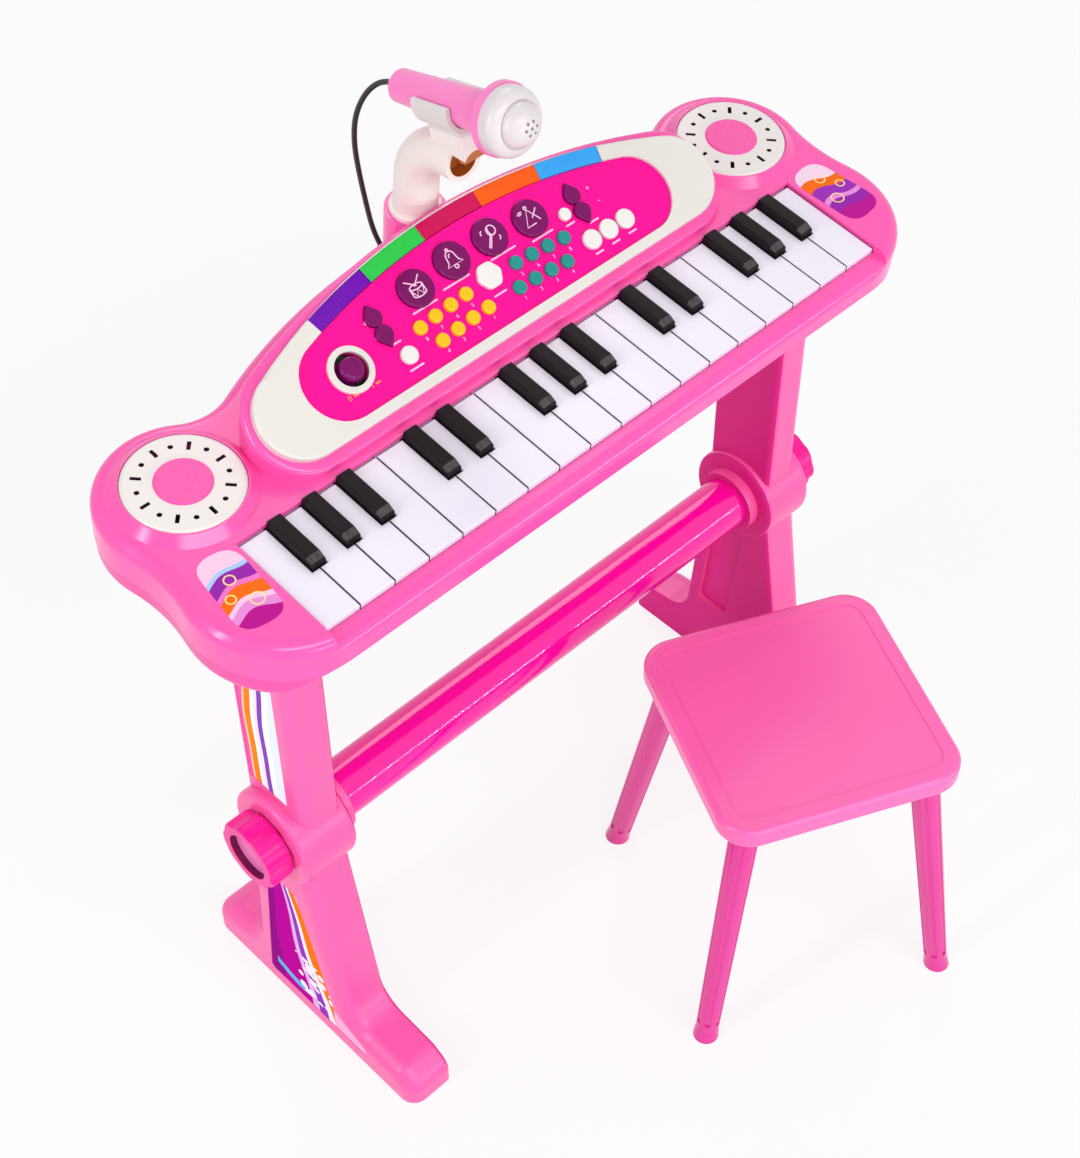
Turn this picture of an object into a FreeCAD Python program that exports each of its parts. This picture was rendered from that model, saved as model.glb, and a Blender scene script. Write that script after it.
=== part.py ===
import FreeCAD, Part
import math
import os
import re
from FreeCAD import Placement, Rotation, Vector

# Driving sizes in millimetres and degrees, grouped by the piece that they shape
sizes = {
    # Whole set
    "deck_height": 467.0,
    "deck_tilt": 6.29,
    "overrun": 6.0,
    "edge_match": 0.01,
    # White keys: the deck frame has its origin at the middle of their front top edge
    "key_pitch": 26.0,
    "key_gap": 1.0,
    "key_reach": 75.2,
    "key_depth": 12.0,
    "key_round": 0.9,
    "tail_drop": 3.0,
    "tail_end": 5.0,
    "pivot_back": 86.0,
    "pivot_drop": 7.5,
    "rod_radius": 2.0,
    "rod_fit": 0.06,
    # Black keys
    "sharp_width": 9.8,
    "sharp_reach": 40.0,
    "sharp_rise": 6.8,
    "sharp_nose": 4.4,
    "sharp_slope": 5.0,
    "sharp_clearance": 0.8,
    "sharp_round": 1.2,
    # Case shells
    "case_wall": 3.0,
    "deck_rise": 2.5,
    "deck_round": 9.0,
    "seam_drop": 26.0,
    "floor_drop": 44.0,
    "floor_round": 8.0,
    "lower_inset": 0.8,
    "cheek_within": 13.0,
    "cheek_back": 50.0,
    "cheek_radius": 64.0,
    "waist_radius": 110.0,
    "lobe_radius": 54.0,
    "dip_radius": 36.0,
    "arch_back": 207.0,
    "arch_radius": 400.0,
    "key_clearance": 0.6,
    "rail_drop": 4.0,
    "rail_round": 7.0,
    "undercut_drop": 22.0,
    "undercut_reach": 22.0,
    # Console: a raised hill with a sloping face behind the keys
    "console_front": 88.0,
    "console_rise": 14.3,
    "console_tilt": 28.3,
    "hill_front": 81.5,
    "hill_end_across": 158.0,
    "hill_end_radius": 33.0,
    "hill_back": 171.5,
    "hill_round": 4.0,
    "hill_headroom": 90.0,
    # Bezel, panel and light windows, along the console's slope
    "bezel_end_across": 157.0,
    "bezel_end_radius": 29.0,
    "bezel_front": 2.5,
    "bezel_top": 87.2,
    "bezel_rise": 2.0,
    "bezel_round": 1.8,
    "panel_end_across": 123.5,
    "panel_end_radius": 26.0,
    "panel_front": 4.5,
    "panel_top": 75.0,
    "panel_thick": 4.0,
    "panel_gap": 0.2,
    "panel_ledge": 5.0,
    "window_band": 11.0,
    "window_span": 6.05,
    "window_gap": 0.3,
    "window_rise": 1.2,
    # Buttons: radius, rise above the panel and places on it
    "button_fit": 0.15,
    "button_rise": 2.6,
    "button_round": 1.2,
    "button_travel": 1.0,
    "button_spare": 0.3,
    "dot_radius": 4.6,
    "dot_pitch": 13.1,
    "dot_row_front": 20.0,
    "dot_row_back": 34.3,
    "dot_start_front": 13.2,
    "dot_start_back": 21.0,
    "dot_arc": 600.0,
    "pad_radius": 12.4,
    "pad_pitch": 31.8,
    "pad_row": 56.3,
    "pad_arc": 320.0,
    "flower_radius": 9.6,
    "flower_corner": 4.5,
    "flower_row": 36.0,
    "choice_radius": 6.6,
    "choice_across": 77.0,
    "choice_pitch": 14.7,
    "choice_row": 21.0,
    "mode_radius": 5.8,
    "demo_radius": 4.3,
    "demo_across": 70.8,
    "demo_row": 43.4,
    "leaf_radius": 5.8,
    "leaf_tip": 9.0,
    "leaf_across": 83.0,
    "leaf_row": 45.2,
    "leaf_spread": 11.6,
    # Power slider
    "power_across": 114.7,
    "power_row": 32.0,
    "power_ring_radius": 15.0,
    "power_ring_rise": 2.4,
    "jewel_radius": 8.0,
    "jewel_rise": 5.0,
    "jewel_round": 3.0,
    "slider_travel": 2.6,
    "slider_spare": 0.4,
    "carriage_length": 24.0,
    "carriage_width": 16.0,
    "carriage_thick": 1.6,
    "carriage_fit": 0.3,
    # Circuit board
    "board_half_length": 125.0,
    "board_front": 9.0,
    "board_back": 50.0,
    "board_drop": 13.0,
    "board_thick": 1.6,
    "boss_radius": 2.5,
    "boss_front_across": 98.0,
    "boss_front_row": 11.5,
    "boss_back_across": 62.0,
    "boss_back_row": 43.0,
    # Speakers
    "speaker_within": 2.4,
    "speaker_back": 126.7,
    "grille_radius": 37.0,
    "grille_rise": 6.5,
    "grille_round": 2.6,
    "grille_skin": 2.4,
    "grille_fit": 0.2,
    "skirt_reach": 7.5,
    "skirt_lip": 1.2,
    "skirt_rise": 5.4,
    "slot_start": 24.0,
    "slot_length": 6.6,
    "slot_width": 2.6,
    "slot_dot_radius": 1.7,
    "slot_dot_place": 27.3,
    "cap_radius": 17.3,
    "cap_rise": 1.2,
    "driver_radius": 28.0,
    "driver_flange": 2.0,
    "driver_cone": 12.0,
    "magnet_radius": 14.0,
    "magnet_depth": 8.0,
    "speaker_opening": 25.0,
    # Contact strip, pivot rod pedestals, battery door and case screws
    "strip_front": 34.0,
    "strip_width": 14.0,
    "strip_drop": 21.0,
    "strip_thick": 2.0,
    "dome_radius": 3.5,
    "dome_height": 3.6,
    "pedestal_gap": 1.5,
    "pedestal_thick": 6.5,
    "pedestal_half": 5.0,
    "door_half_length": 55.0,
    "door_front": 100.0,
    "door_width": 64.0,
    "door_fit": 0.25,
    "tab_length": 16.0,
    "tab_reach": 3.0,
    "tab_thick": 1.4,
    "screw_beyond": 17.0,
    "screw_front": 18.0,
    "screw_back": 66.0,
    "screw_head_radius": 3.8,
    "screw_head_thick": 1.8,
    "screw_radius": 1.5,
    "screw_length": 18.0,
    "screw_fit": 0.05,
    "screw_boss_radius": 4.5,
    # Microphone socket and holder
    "socket_radius": 19.8,
    "socket_back": 187.0,
    "socket_top": 40.0,
    "socket_depth": 9.0,
    "collar_radius": 17.0,
    "collar_fit": 0.1,
    "collar_rise": 4.0,
    "collar_round": 1.8,
    "neck_radius": 14.3,
    "neck_straight": 23.0,
    "neck_bend": 38.0,
    "neck_turn": 80.0,
    "nose_length": 8.0,
    "nose_bore": 10.5,
    "nose_depth": 10.0,
    "cradle_start": 34.0,
    "cradle_length": 32.0,
    "cradle_radius": 15.8,
    "cradle_fit": 0.35,
    "cradle_jaw": 5.0,
    "saddle_half": 8.0,
    "saddle_drop": 34.0,
    "saddle_inset": 2.0,
    # Microphone
    "mic_back": 194.8,
    "mic_rise": 145.2,
    "mic_tilt": 14.0,
    "tail_face_radius": 5.0,
    "tail_length": 7.0,
    "handle_tail_radius": 10.4,
    "handle_front_radius": 13.0,
    "handle_length": 89.0,
    "flare_length": 5.5,
    "flange_radius": 22.0,
    "flange_thick": 4.5,
    "head_radius": 20.8,
    "head_rim": 6.0,
    "head_shoulder": 7.0,
    "head_shoulder_radius": 14.8,
    "head_step": 1.0,
    "head_dome": 11.0,
    "hole_radius": 1.0,
    "hole_ring": 4.1,
    "hole_depth": 4.0,
    # Microphone cord and its gland
    "cord_radius": 1.8,
    "gland_across": 8.0,
    "gland_drop": 32.0,
    "gland_mouth": 214.0,
    "gland_radius": 4.2,
    "gland_tip_radius": 3.0,
    # Stand
    "stand_inner": 207.0,
    "post_width": 31.0,
    "post_front": 43.0,
    "post_back": 101.0,
    "post_round": 5.0,
    "post_wall": 3.0,
    "post_plug": 12.0,
    "post_corner": 10.0,
    "post_label_inset": 5.0,
    "post_label_low": 4.0,
    "post_label_high": 20.0,
    "label_depth": 0.8,
    "hub_height": 204.0,
    "hub_back": 71.0,
    "hub_radius": 37.0,
    "hub_proud": 5.0,
    "hub_width": 44.0,
    "hub_round": 4.0,
    "hub_fit": 0.2,
    "leg_width": 36.0,
    "leg_round": 4.0,
    "leg_soft_round": 12.0,
    "sole_front": 52.0,
    "sole_back": 167.0,
    "tip_height": 20.0,
    "toe_height": 29.0,
    "tip_run": 16.0,
    "kink_front": 14.0,
    "kink_back": 115.0,
    "kink_height": 33.0,
    "foot_corner": 14.0,
    "kink_round": 24.0,
    "foot_label_inset": 14.0,
    "foot_label_low": 12.0,
    "foot_label_height": 150.0,
    "foot_wall": 5.0,
    "pocket_depth": 4.0,
    "pocket_low": 62.0,
    "pocket_high": 158.0,
    "pocket_low_front": 72.0,
    "pocket_low_back": 101.0,
    "pocket_high_front": 62.0,
    "pocket_high_back": 92.0,
    "bar_radius": 20.0,
    "bar_ring_radius": 25.0,
    "bar_ring_length": 8.0,
    "bar_fit": 0.1,
    "bar_wall": 2.5,
    "bar_plug": 45.0,
    # Hand knobs
    "knob_radius": 26.0,
    "knob_thick": 19.0,
    "knob_gap": 1.0,
    "knob_round": 2.5,
    "scallop_radius": 16.0,
    "scallop_depth": 2.6,
    "knob_dish_radius": 17.5,
    "knob_dish_depth": 5.0,
    "bolt_radius": 5.0,
    "bolt_fit": 0.06,
    "bolt_length": 30.0,
    # Stool
    "stool_across": 69.5,
    "stool_ahead": 109.5,
    "stool_turn": -25.2,
    "seat_side": 174.0,
    "seat_corner": 24.0,
    "seat_height": 229.0,
    "seat_thick": 17.0,
    "seat_round": 4.5,
    "seat_border": 12.0,
    "seat_dish": 0.8,
    "stool_leg_top": 64.0,
    "stool_leg_foot": 91.0,
    "stool_leg_radius": 10.5,
    "stool_leg_tip_radius": 8.2,
    "stool_shoe_radius": 9.8,
    "stool_shoe_height": 12.0,
    "flute_start": 15.0,
    "flute_radius": 2.6,
    "flute_beyond": 1.5,
}

notes = "FGABCDEFGABCDEFGAB"
notes_with_sharp = "FGACD"
slot_count = 8
flute_count = 6
window_count = 5
dots_in_row = 4
choice_count = 3
mic_hole_count = 6
scallop_count = 9
flower_corners = 6
run_share = 0.45
side_signs = (-1, 1)
side_names = {-1: "left", 1: "right"}

# Places that follow from the driving sizes, as formulas in the sheet
derived_sizes = {
    "cheek_across": f"{len(notes)} / 2 * key_pitch - cheek_within",
    "speaker_across": f"{len(notes)} / 2 * key_pitch - speaker_within",
    "screw_across": f"{len(notes)} / 2 * key_pitch + screw_beyond",
    "power_hole_radius": "jewel_radius + slider_travel + slider_spare",
    "mic_height": "deck_height + mic_rise",
    "post_outer": "stand_inner + post_width",
    "leg_outer": "stand_inner + leg_width",
    "hub_inner": "stand_inner - hub_proud",
    "hub_outer": "stand_inner - hub_proud + hub_width",
}

# Route of the microphone's cord, from the microphone's tail to the gland, with heights from the deck
cord_route = [
    (0.0, 194.8, 145.2),
    (0.0, 204.5, 142.78),
    (-6.5, 213.5, 133.5),
    (-10.5, 221.0, 115.0),
    (-9.5, 226.0, 92.0),
    (-5.0, 229.5, 66.0),
    (0.5, 231.5, 36.0),
    (5.0, 232.5, 12.0),
    (8.0, 229.8, -2.0),
    (8.0, 223.8, -7.41),
    (8.0, 216.21, -8.34),
]

doc = FreeCAD.newDocument("ToyPiano")
sheet = doc.addObject("Spreadsheet::Sheet", "Sizes")
cells = {alias: str(number) for alias, number in sizes.items()}
cells.update({alias: "=" + formula for alias, formula in derived_sizes.items()})
for row, (alias, content) in enumerate(cells.items(), 1):
    sheet.set(f"A{row}", alias)
    sheet.set(f"B{row}", content)
    sheet.setAlias(f"B{row}", alias)
doc.recompute()


class SheetValues:
    # Reads a size from the sheet by its alias
    def __getattr__(self, alias):
        return float(sheet.get(alias))


z = SheetValues()
parts = {}
axis_x = Vector(1, 0, 0)
axis_y = Vector(0, 1, 0)
axis_z = Vector(0, 0, 1)


def bind(item, **formulas):
    def on_sheet(word):
        return f"Sizes.{word.group()}" if word.group() in cells else word.group()

    for name, formula in formulas.items():
        item.setExpression(name.replace("__", "."), re.sub(r"[a-z]\w*", on_sheet, formula))
    return item


def set_down(item, corner):
    x, y, height = corner
    return bind(item, Placement__Base__x=x, Placement__Base__y=y, Placement__Base__z=height)


def box(name, length, width, height, corner):
    item = doc.addObject("Part::Box", name)
    bind(item, Length=length, Width=width, Height=height)
    return set_down(item, corner)


def cylinder(name, radius, height, corner, along=axis_z):
    item = doc.addObject("Part::Cylinder", name)
    item.Placement = Placement(Vector(), Rotation(axis_z, along))
    bind(item, Radius=radius, Height=height)
    return set_down(item, corner)


def cone(name, first_radius, last_radius, height, corner, along=axis_z):
    item = doc.addObject("Part::Cone", name)
    item.Placement = Placement(Vector(), Rotation(axis_z, along))
    bind(item, Radius1=first_radius, Radius2=last_radius, Height=height)
    return set_down(item, corner)


def fuse(name, *items):
    item = doc.addObject("Part::MultiFuse", name)
    item.Shapes = list(items)
    return item


def cut(name, base, *tools):
    item = doc.addObject("Part::Cut", name)
    item.Base = base
    item.Tool = tools[0] if len(tools) == 1 else fuse(name + "_tools", *tools)
    return item


def common(name, base, tool):
    item = doc.addObject("Part::Common", name)
    item.Base = base
    item.Tool = tool
    return item


def group(name, *items):
    item = doc.addObject("Part::Compound", name)
    item.Links = list(items)
    return item


def carried(item, placement):
    # A copy of a piece, moved from one frame to another
    copy = group(item.Name + "_carried", item)
    copy.Placement = placement
    return copy


def mirrored(name, source):
    item = doc.addObject("Part::Mirroring", name)
    item.Source = source
    item.Normal = axis_x
    return item


def outline(name, wire):
    item = doc.addObject("Part::Feature", name)
    item.Shape = wire
    return item


def extrude(name, base, length, along=axis_z):
    item = doc.addObject("Part::Extrusion", name)
    item.Base = base
    item.DirMode = "Custom"
    item.Dir = along
    item.Solid = True
    return bind(item, LengthFwd=length)


def rounded(name, base, radius, chosen):
    doc.recompute()
    item = doc.addObject("Part::Fillet", name)
    item.Base = base
    edges = enumerate(base.Shape.Edges, 1)
    item.Edges = [(index, radius, radius) for index, edge in edges if chosen(edge)]
    return item


def level(height):
    # Chooses the edges that lie at one height
    def chosen(edge):
        ends = [vertex.Z for vertex in edge.Vertexes] + [edge.CenterOfMass.z]
        return max(abs(end - height) for end in ends) < z.edge_match
    return chosen


def ring_wire(centre, radius):
    return Part.Wire([Part.Circle(centre, axis_z, radius).toShape()])


def arc_about(centre, start, end):
    # The shorter arc about a centre
    middle = (start - centre) + (end - centre)
    middle.normalize()
    middle = centre + middle * (start - centre).Length
    return Part.Arc(start, middle, end).toShape()


def rounded_wire(points, radii):
    # A closed outline whose corners are tangent arcs
    edges = []
    stops = []
    for index, point in enumerate(points):
        before = points[index - 1] - point
        after = points[(index + 1) % len(points)] - point
        before.normalize()
        after.normalize()
        if radii[index] == 0:
            stops.append((point, None, point))
            continue
        half_angle = before.getAngle(after) / 2
        reach = radii[index] / math.tan(half_angle)
        bisector = before + after
        bisector.normalize()
        centre = point + bisector * (radii[index] / math.sin(half_angle))
        stops.append((point + before * reach, centre, point + after * reach))
    for index, (start, centre, end) in enumerate(stops):
        if centre:
            edges.append(arc_about(centre, start, end))
        following = stops[(index + 1) % len(stops)][0]
        edges.append(Part.LineSegment(end, following).toShape())
    return Part.Wire(edges)


def meeting(first, first_radius, second, second_radius, toward):
    # The point at two distances from two centres, on the side that toward points to
    line = second - first
    span = line.Length
    along = (first_radius ** 2 - second_radius ** 2 + span ** 2) / (2 * span)
    across = math.sqrt(first_radius ** 2 - along ** 2)
    line.normalize()
    side = Vector(-line.y, line.x, 0)
    if side.dot(toward) < 0:
        side = -side
    return first + line * along + side * across


def case_wire(inset, height):
    # Plan of the case: cheeks, waists, speaker lobes and arched back, all tangent
    cheek = Vector(z.cheek_across, z.cheek_back, height)
    lobe = Vector(z.speaker_across, z.speaker_back, height)
    arch = Vector(0, z.arch_back - z.arch_radius, height)
    waist = meeting(cheek, z.cheek_radius + z.waist_radius, lobe, z.lobe_radius + z.waist_radius, axis_x)
    dip = meeting(lobe, z.lobe_radius + z.dip_radius, arch, z.arch_radius + z.dip_radius, axis_y)

    def touch(centre, radius, other):
        line = other - centre
        line.normalize()
        return centre + line * (radius - inset)

    front = cheek - axis_y * (z.cheek_radius - inset)
    cheek_end = touch(cheek, z.cheek_radius, waist)
    lobe_start = touch(lobe, z.lobe_radius, waist)
    lobe_end = touch(lobe, z.lobe_radius, dip)
    arch_start = touch(arch, z.arch_radius, dip)
    across = [Vector(-point.x, point.y, point.z) for point in (front, arch_start)]
    half = Part.Wire([
        arc_about(cheek, front, cheek_end),
        arc_about(waist, cheek_end, lobe_start),
        arc_about(lobe, lobe_start, lobe_end),
        arc_about(dip, lobe_end, arch_start),
    ])
    edges = half.Edges + half.mirror(Vector(), axis_x).Edges
    edges.append(arc_about(arch, arch_start, across[1]))
    edges.append(Part.LineSegment(across[0], front).toShape())
    return Part.Wire(Part.sortEdges(edges)[0])


def lens_arc(end_across, end_radius, front, top):
    # Radius of the arc through the top that is tangent to both end circles
    drop = front + end_radius - top
    return (end_across ** 2 + drop ** 2 - end_radius ** 2) / (2 * (-drop - end_radius))


def lens_wire(end_across, end_radius, front, top, inset, height):
    # A half-moon: straight front, round ends and an arched top, all tangent
    radius = lens_arc(end_across, end_radius, front, top)
    centre = Vector(0, top - radius, height)
    end = Vector(end_across, front + end_radius, height)
    low = end - axis_y * (end_radius - inset)
    line = end - centre
    line.normalize()
    high = centre + line * (radius - inset)
    side = end + axis_x * (end_radius - inset)
    half = Part.Wire([Part.Arc(low, side, high).toShape()])
    other_low = Vector(-low.x, low.y, height)
    other_high = Vector(-high.x, high.y, height)
    edges = half.Edges + half.mirror(Vector(), axis_x).Edges
    edges.append(arc_about(centre, high, other_high))
    edges.append(Part.LineSegment(other_low, low).toShape())
    return Part.Wire(Part.sortEdges(edges)[0])


def hand_in(label, item, placement):
    item.Label = label
    item.Placement = placement
    parts[label] = item


deck = Placement(Vector(0, 0, z.deck_height), Rotation(axis_x, z.deck_tilt))
slope = Placement(Vector(0, z.console_front, z.console_rise), Rotation(axis_x, z.console_tilt))
console = deck.multiply(slope)
microphone = Placement(Vector(0, z.mic_back, z.mic_height), Rotation(axis_x, 90 - z.mic_tilt))
floor = Placement()


def sketch_body(label, role, edges):
    body = doc.addObject("PartDesign::Body", label + "_body")
    sketch = body.newObject("Sketcher::SketchObject", label + "_sketch")
    plane = next(item for item in body.Origin.OriginFeatures if item.Role == role)
    sketch.AttachmentSupport = (plane, "")
    sketch.MapMode = "FlatFace"
    for edge in edges:
        sketch.addGeometry(edge, False)
    return body, sketch


def polygon(points):
    return [Part.LineSegment(start, end) for start, end in zip(points, points[1:] + points[:1])]


def white_key(index, sharp_before, sharp_after):
    name = f"white_key_{index + 1:02d}"
    left = f"({index} - {len(notes)} / 2) * key_pitch"
    blank = box(name + "_blank", "key_pitch - key_gap", "pivot_back + tail_end", "key_depth",
                (f"{left} + key_gap / 2", "0", "-key_depth"))
    relief = box(name + "_relief", "key_pitch + 2 * overrun", "pivot_back", "key_depth",
                 (f"{left} - overrun", "key_reach", "-tail_drop"))
    bore = cylinder(name + "_bore", "rod_radius + rod_fit", "key_pitch + 2 * overrun",
                    (f"{left} - overrun", "pivot_back", "-pivot_drop"), axis_x)
    tools = [relief, bore]
    notch_width = "(sharp_width / 2 + sharp_clearance + overrun)"
    notch_front = "key_reach - sharp_reach - sharp_clearance"
    notch_starts = []
    if sharp_before:
        notch_starts.append(f"{left} - overrun")
    if sharp_after:
        notch_starts.append(f"{left} + key_pitch + overrun - {notch_width}")
    for number, start in enumerate(notch_starts):
        corner = (start, notch_front, "-key_depth - overrun")
        tools.append(box(f"{name}_notch_{number}", notch_width, "pivot_back + tail_end",
                         "key_depth + 2 * overrun", corner))
    shaped = cut(name + "_shaped", blank, *tools)
    hand_in(name, rounded(name + "_round", shaped, z.key_round, level(0)), deck)


def black_key(number, boundary):
    name = f"black_key_{number + 1:02d}"
    front = z.key_reach - z.sharp_reach
    end = z.pivot_back + z.tail_end
    corners = [
        (front, -z.key_depth),
        (front, z.sharp_nose),
        (front + z.sharp_slope, z.sharp_rise),
        (z.key_reach, z.sharp_rise),
        (z.key_reach, -z.tail_drop),
        (end, -z.tail_drop),
        (end, -z.key_depth),
    ]
    edges = polygon([Vector(along, height, 0) for along, height in corners])
    edges.append(Part.Circle(Vector(z.pivot_back, -z.pivot_drop, 0), axis_z, z.rod_radius + z.rod_fit))
    body, sketch = sketch_body(name, "YZ_Plane", edges)
    pad = body.newObject("PartDesign::Pad", name + "_pad")
    pad.Profile = sketch
    bind(pad, Length="sharp_width")
    doc.recompute()
    fillet = body.newObject("PartDesign::Fillet", name + "_fillet")
    chosen = []
    for index, edge in enumerate(pad.Shape.Edges, 1):
        heights = [vertex.Z for vertex in edge.Vertexes]
        if max(heights) > z.sharp_rise - z.edge_match and min(heights) > z.sharp_nose - z.edge_match:
            chosen.append(f"Edge{index}")
    fillet.Base = (pad, chosen)
    bind(fillet, Radius="sharp_round")
    body.Tip = fillet
    across = (boundary - len(notes) / 2) * z.key_pitch - z.sharp_width / 2
    hand_in(name, body, deck.multiply(Placement(Vector(across, 0, 0), Rotation())))


has_sharp = [note in notes_with_sharp for note in notes[:-1]] + [False]
for index in range(len(notes)):
    white_key(index, index > 0 and has_sharp[index - 1], has_sharp[index])
for number, boundary in enumerate(index + 1 for index, sharp in enumerate(has_sharp) if sharp):
    black_key(number, boundary)

key_field = f"({len(notes)} * key_pitch)"
half_field = f"({len(notes)} / 2 * key_pitch)"


def hill(name, inset, sunk):
    # The console's hill: its plan carried up to a plane parallel to the console's face
    wire = lens_wire(z.hill_end_across, z.hill_end_radius, z.hill_front, z.hill_back, inset, -z.case_wall)
    block = extrude(name + "_block", outline(name + "_plan", wire), "hill_headroom")
    sky = box(name + "_sky", "4 * hill_end_across", "4 * hill_back", "2 * hill_headroom",
              ("-2 * hill_end_across", "-2 * hill_back", f"-panel_thick - {sunk}"))
    doc.recompute()
    return cut(name + "_hill", block, carried(sky, slope))


def front_wedge(name, inward):
    # The prism that leaves the case's front slanting back to its floor
    run = Vector(0, z.undercut_reach, z.undercut_drop - z.floor_drop)
    beyond = run * (z.overrun / run.Length)
    left = -z.cheek_across - z.cheek_radius
    high = Vector(left, z.cheek_back - z.cheek_radius + inward * run.Length / -run.z, -z.undercut_drop)
    low = high + run + beyond
    high = high - beyond
    wire = Part.makePolygon([high, Vector(left, high.y, low.z), low, high])
    return extrude(name, outline(name + "_plan", wire), "2 * (cheek_across + cheek_radius)", axis_x)


def on_hill_face(edge):
    normal = slope.Rotation.multVec(axis_z)
    foot = slope.multVec(Vector(0, 0, -z.panel_thick))
    points = [vertex.Point for vertex in edge.Vertexes] + [edge.CenterOfMass]
    return max(abs((point - foot).dot(normal)) for point in points) < z.edge_match


def top_case():
    slab = extrude("deck_slab", outline("deck_plan", case_wire(0, -z.seam_drop)), "deck_rise + seam_drop")
    slab = rounded("deck_round_edge", slab, z.deck_round, level(z.deck_rise))
    slab = cut("deck_slanted", slab, front_wedge("deck_wedge", 0))
    console_hill = rounded("console_round_edge", hill("console_outer", 0, "0"), z.hill_round, on_hill_face)
    socket = cylinder("socket_outer", "socket_radius", "socket_top + seam_drop",
                      ("0", "socket_back", "-seam_drop"))
    outer = fuse("upper_outer", slab, console_hill, socket)
    socket_column = cylinder("socket_column", "socket_radius", "hill_headroom", ("0", "socket_back", "0"))
    socket_wall = common("socket_wall", console_hill, socket_column)
    room_height = "seam_drop + overrun + deck_rise - case_wall"
    room_wire = case_wire(z.case_wall, -z.seam_drop - z.overrun)
    room = extrude("deck_room", outline("deck_room_plan", room_wire), room_height)
    room = cut("deck_room_slanted", room, front_wedge("deck_room_wedge", z.case_wall))
    console_room = hill("console_inner", z.case_wall, "case_wall")
    front = "(cheek_back - cheek_radius)"
    field_width = f"{key_field} + 2 * key_clearance"
    field_left = f"-{half_field} - key_clearance"
    key_window = box("key_window", field_width, f"key_reach + 2 * key_clearance - {front} + overrun",
                     "seam_drop + deck_rise + 2 * overrun",
                     (field_left, f"{front} - overrun", "-seam_drop - overrun"))
    shell = cut("upper_shell", outer, room, console_room, key_window)
    rail = box("front_rail", field_width, f"-{front} - key_clearance", "seam_drop - rail_drop",
               (field_left, front, "-seam_drop"))

    def rail_lip(edge):
        middle = edge.CenterOfMass
        at_front = abs(middle.y - (z.cheek_back - z.cheek_radius)) < z.edge_match
        return at_front and abs(middle.z + z.rail_drop) < z.edge_match

    rail = rounded("front_rail_round", rail, z.rail_round, rail_lip)
    rail_plan = outline("front_rail_plan", case_wire(0, -z.seam_drop))
    rail = common("front_rail_trimmed", rail, extrude("front_rail_trim", rail_plan, "seam_drop"))
    rail = cut("front_rail_slanted", rail, front_wedge("rail_wedge", 0))
    bosses = []
    drills = []
    for side in side_signs:
        for row, place in (("front", "screw_front"), ("back", "screw_back")):
            name = f"screw_boss_{row}_{side_names[side]}"
            corner = (f"{side} * screw_across", place, "-floor_drop + case_wall")
            boss_height = "floor_drop - case_wall + deck_rise - case_wall / 2"
            bosses.append(cylinder(name, "screw_boss_radius", boss_height, corner))
            drills.append(cylinder(name + "_drill", "screw_radius + screw_fit", "screw_length", corner))
        middle = (f"{side} * speaker_across", "speaker_back")
        drills.append(cylinder(f"speaker_opening_{side_names[side]}", "speaker_opening",
                               "seam_drop + deck_rise + overrun", (*middle, "-seam_drop")))
        bosses.append(cone(f"grille_skirt_{side_names[side]}", "grille_radius + skirt_reach",
                           "grille_radius + skirt_lip", "skirt_rise", (*middle, "deck_rise")))
        drills.append(cylinder(f"grille_seat_{side_names[side]}", "grille_radius + grille_fit",
                               "skirt_rise + overrun", (*middle, "deck_rise")))
        wall_middle = f"{side} * ({half_field} + key_clearance + case_wall / 2)"
        corner = (f"{wall_middle} - case_wall / 2", front, "-seam_drop")
        lining = box(f"end_lining_{side_names[side]}", "case_wall", f"key_reach - {front}",
                     "seam_drop + deck_rise - case_wall / 2", corner)
        bosses.append(common(f"end_wall_{side_names[side]}", lining, slab))
    cup = cylinder("socket_cup", "collar_radius + collar_fit", "hill_headroom",
                   ("0", "socket_back", "socket_top - socket_depth"))
    ledge_low = -z.panel_thick - 2 * z.case_wall
    ledge_wire = lens_wire(z.panel_end_across, z.panel_end_radius, z.panel_front, z.panel_top,
                           z.panel_ledge, ledge_low)
    ledge = extrude("panel_ledge_block", outline("panel_ledge_plan", ledge_wire), "3 * case_wall")
    solid = fuse("upper_joined", shell, rail, socket_wall, *bosses)
    drilled = cut("upper_case", solid, cup, carried(ledge, slope), *drills)
    hand_in("top_case", drilled, deck)


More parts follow.
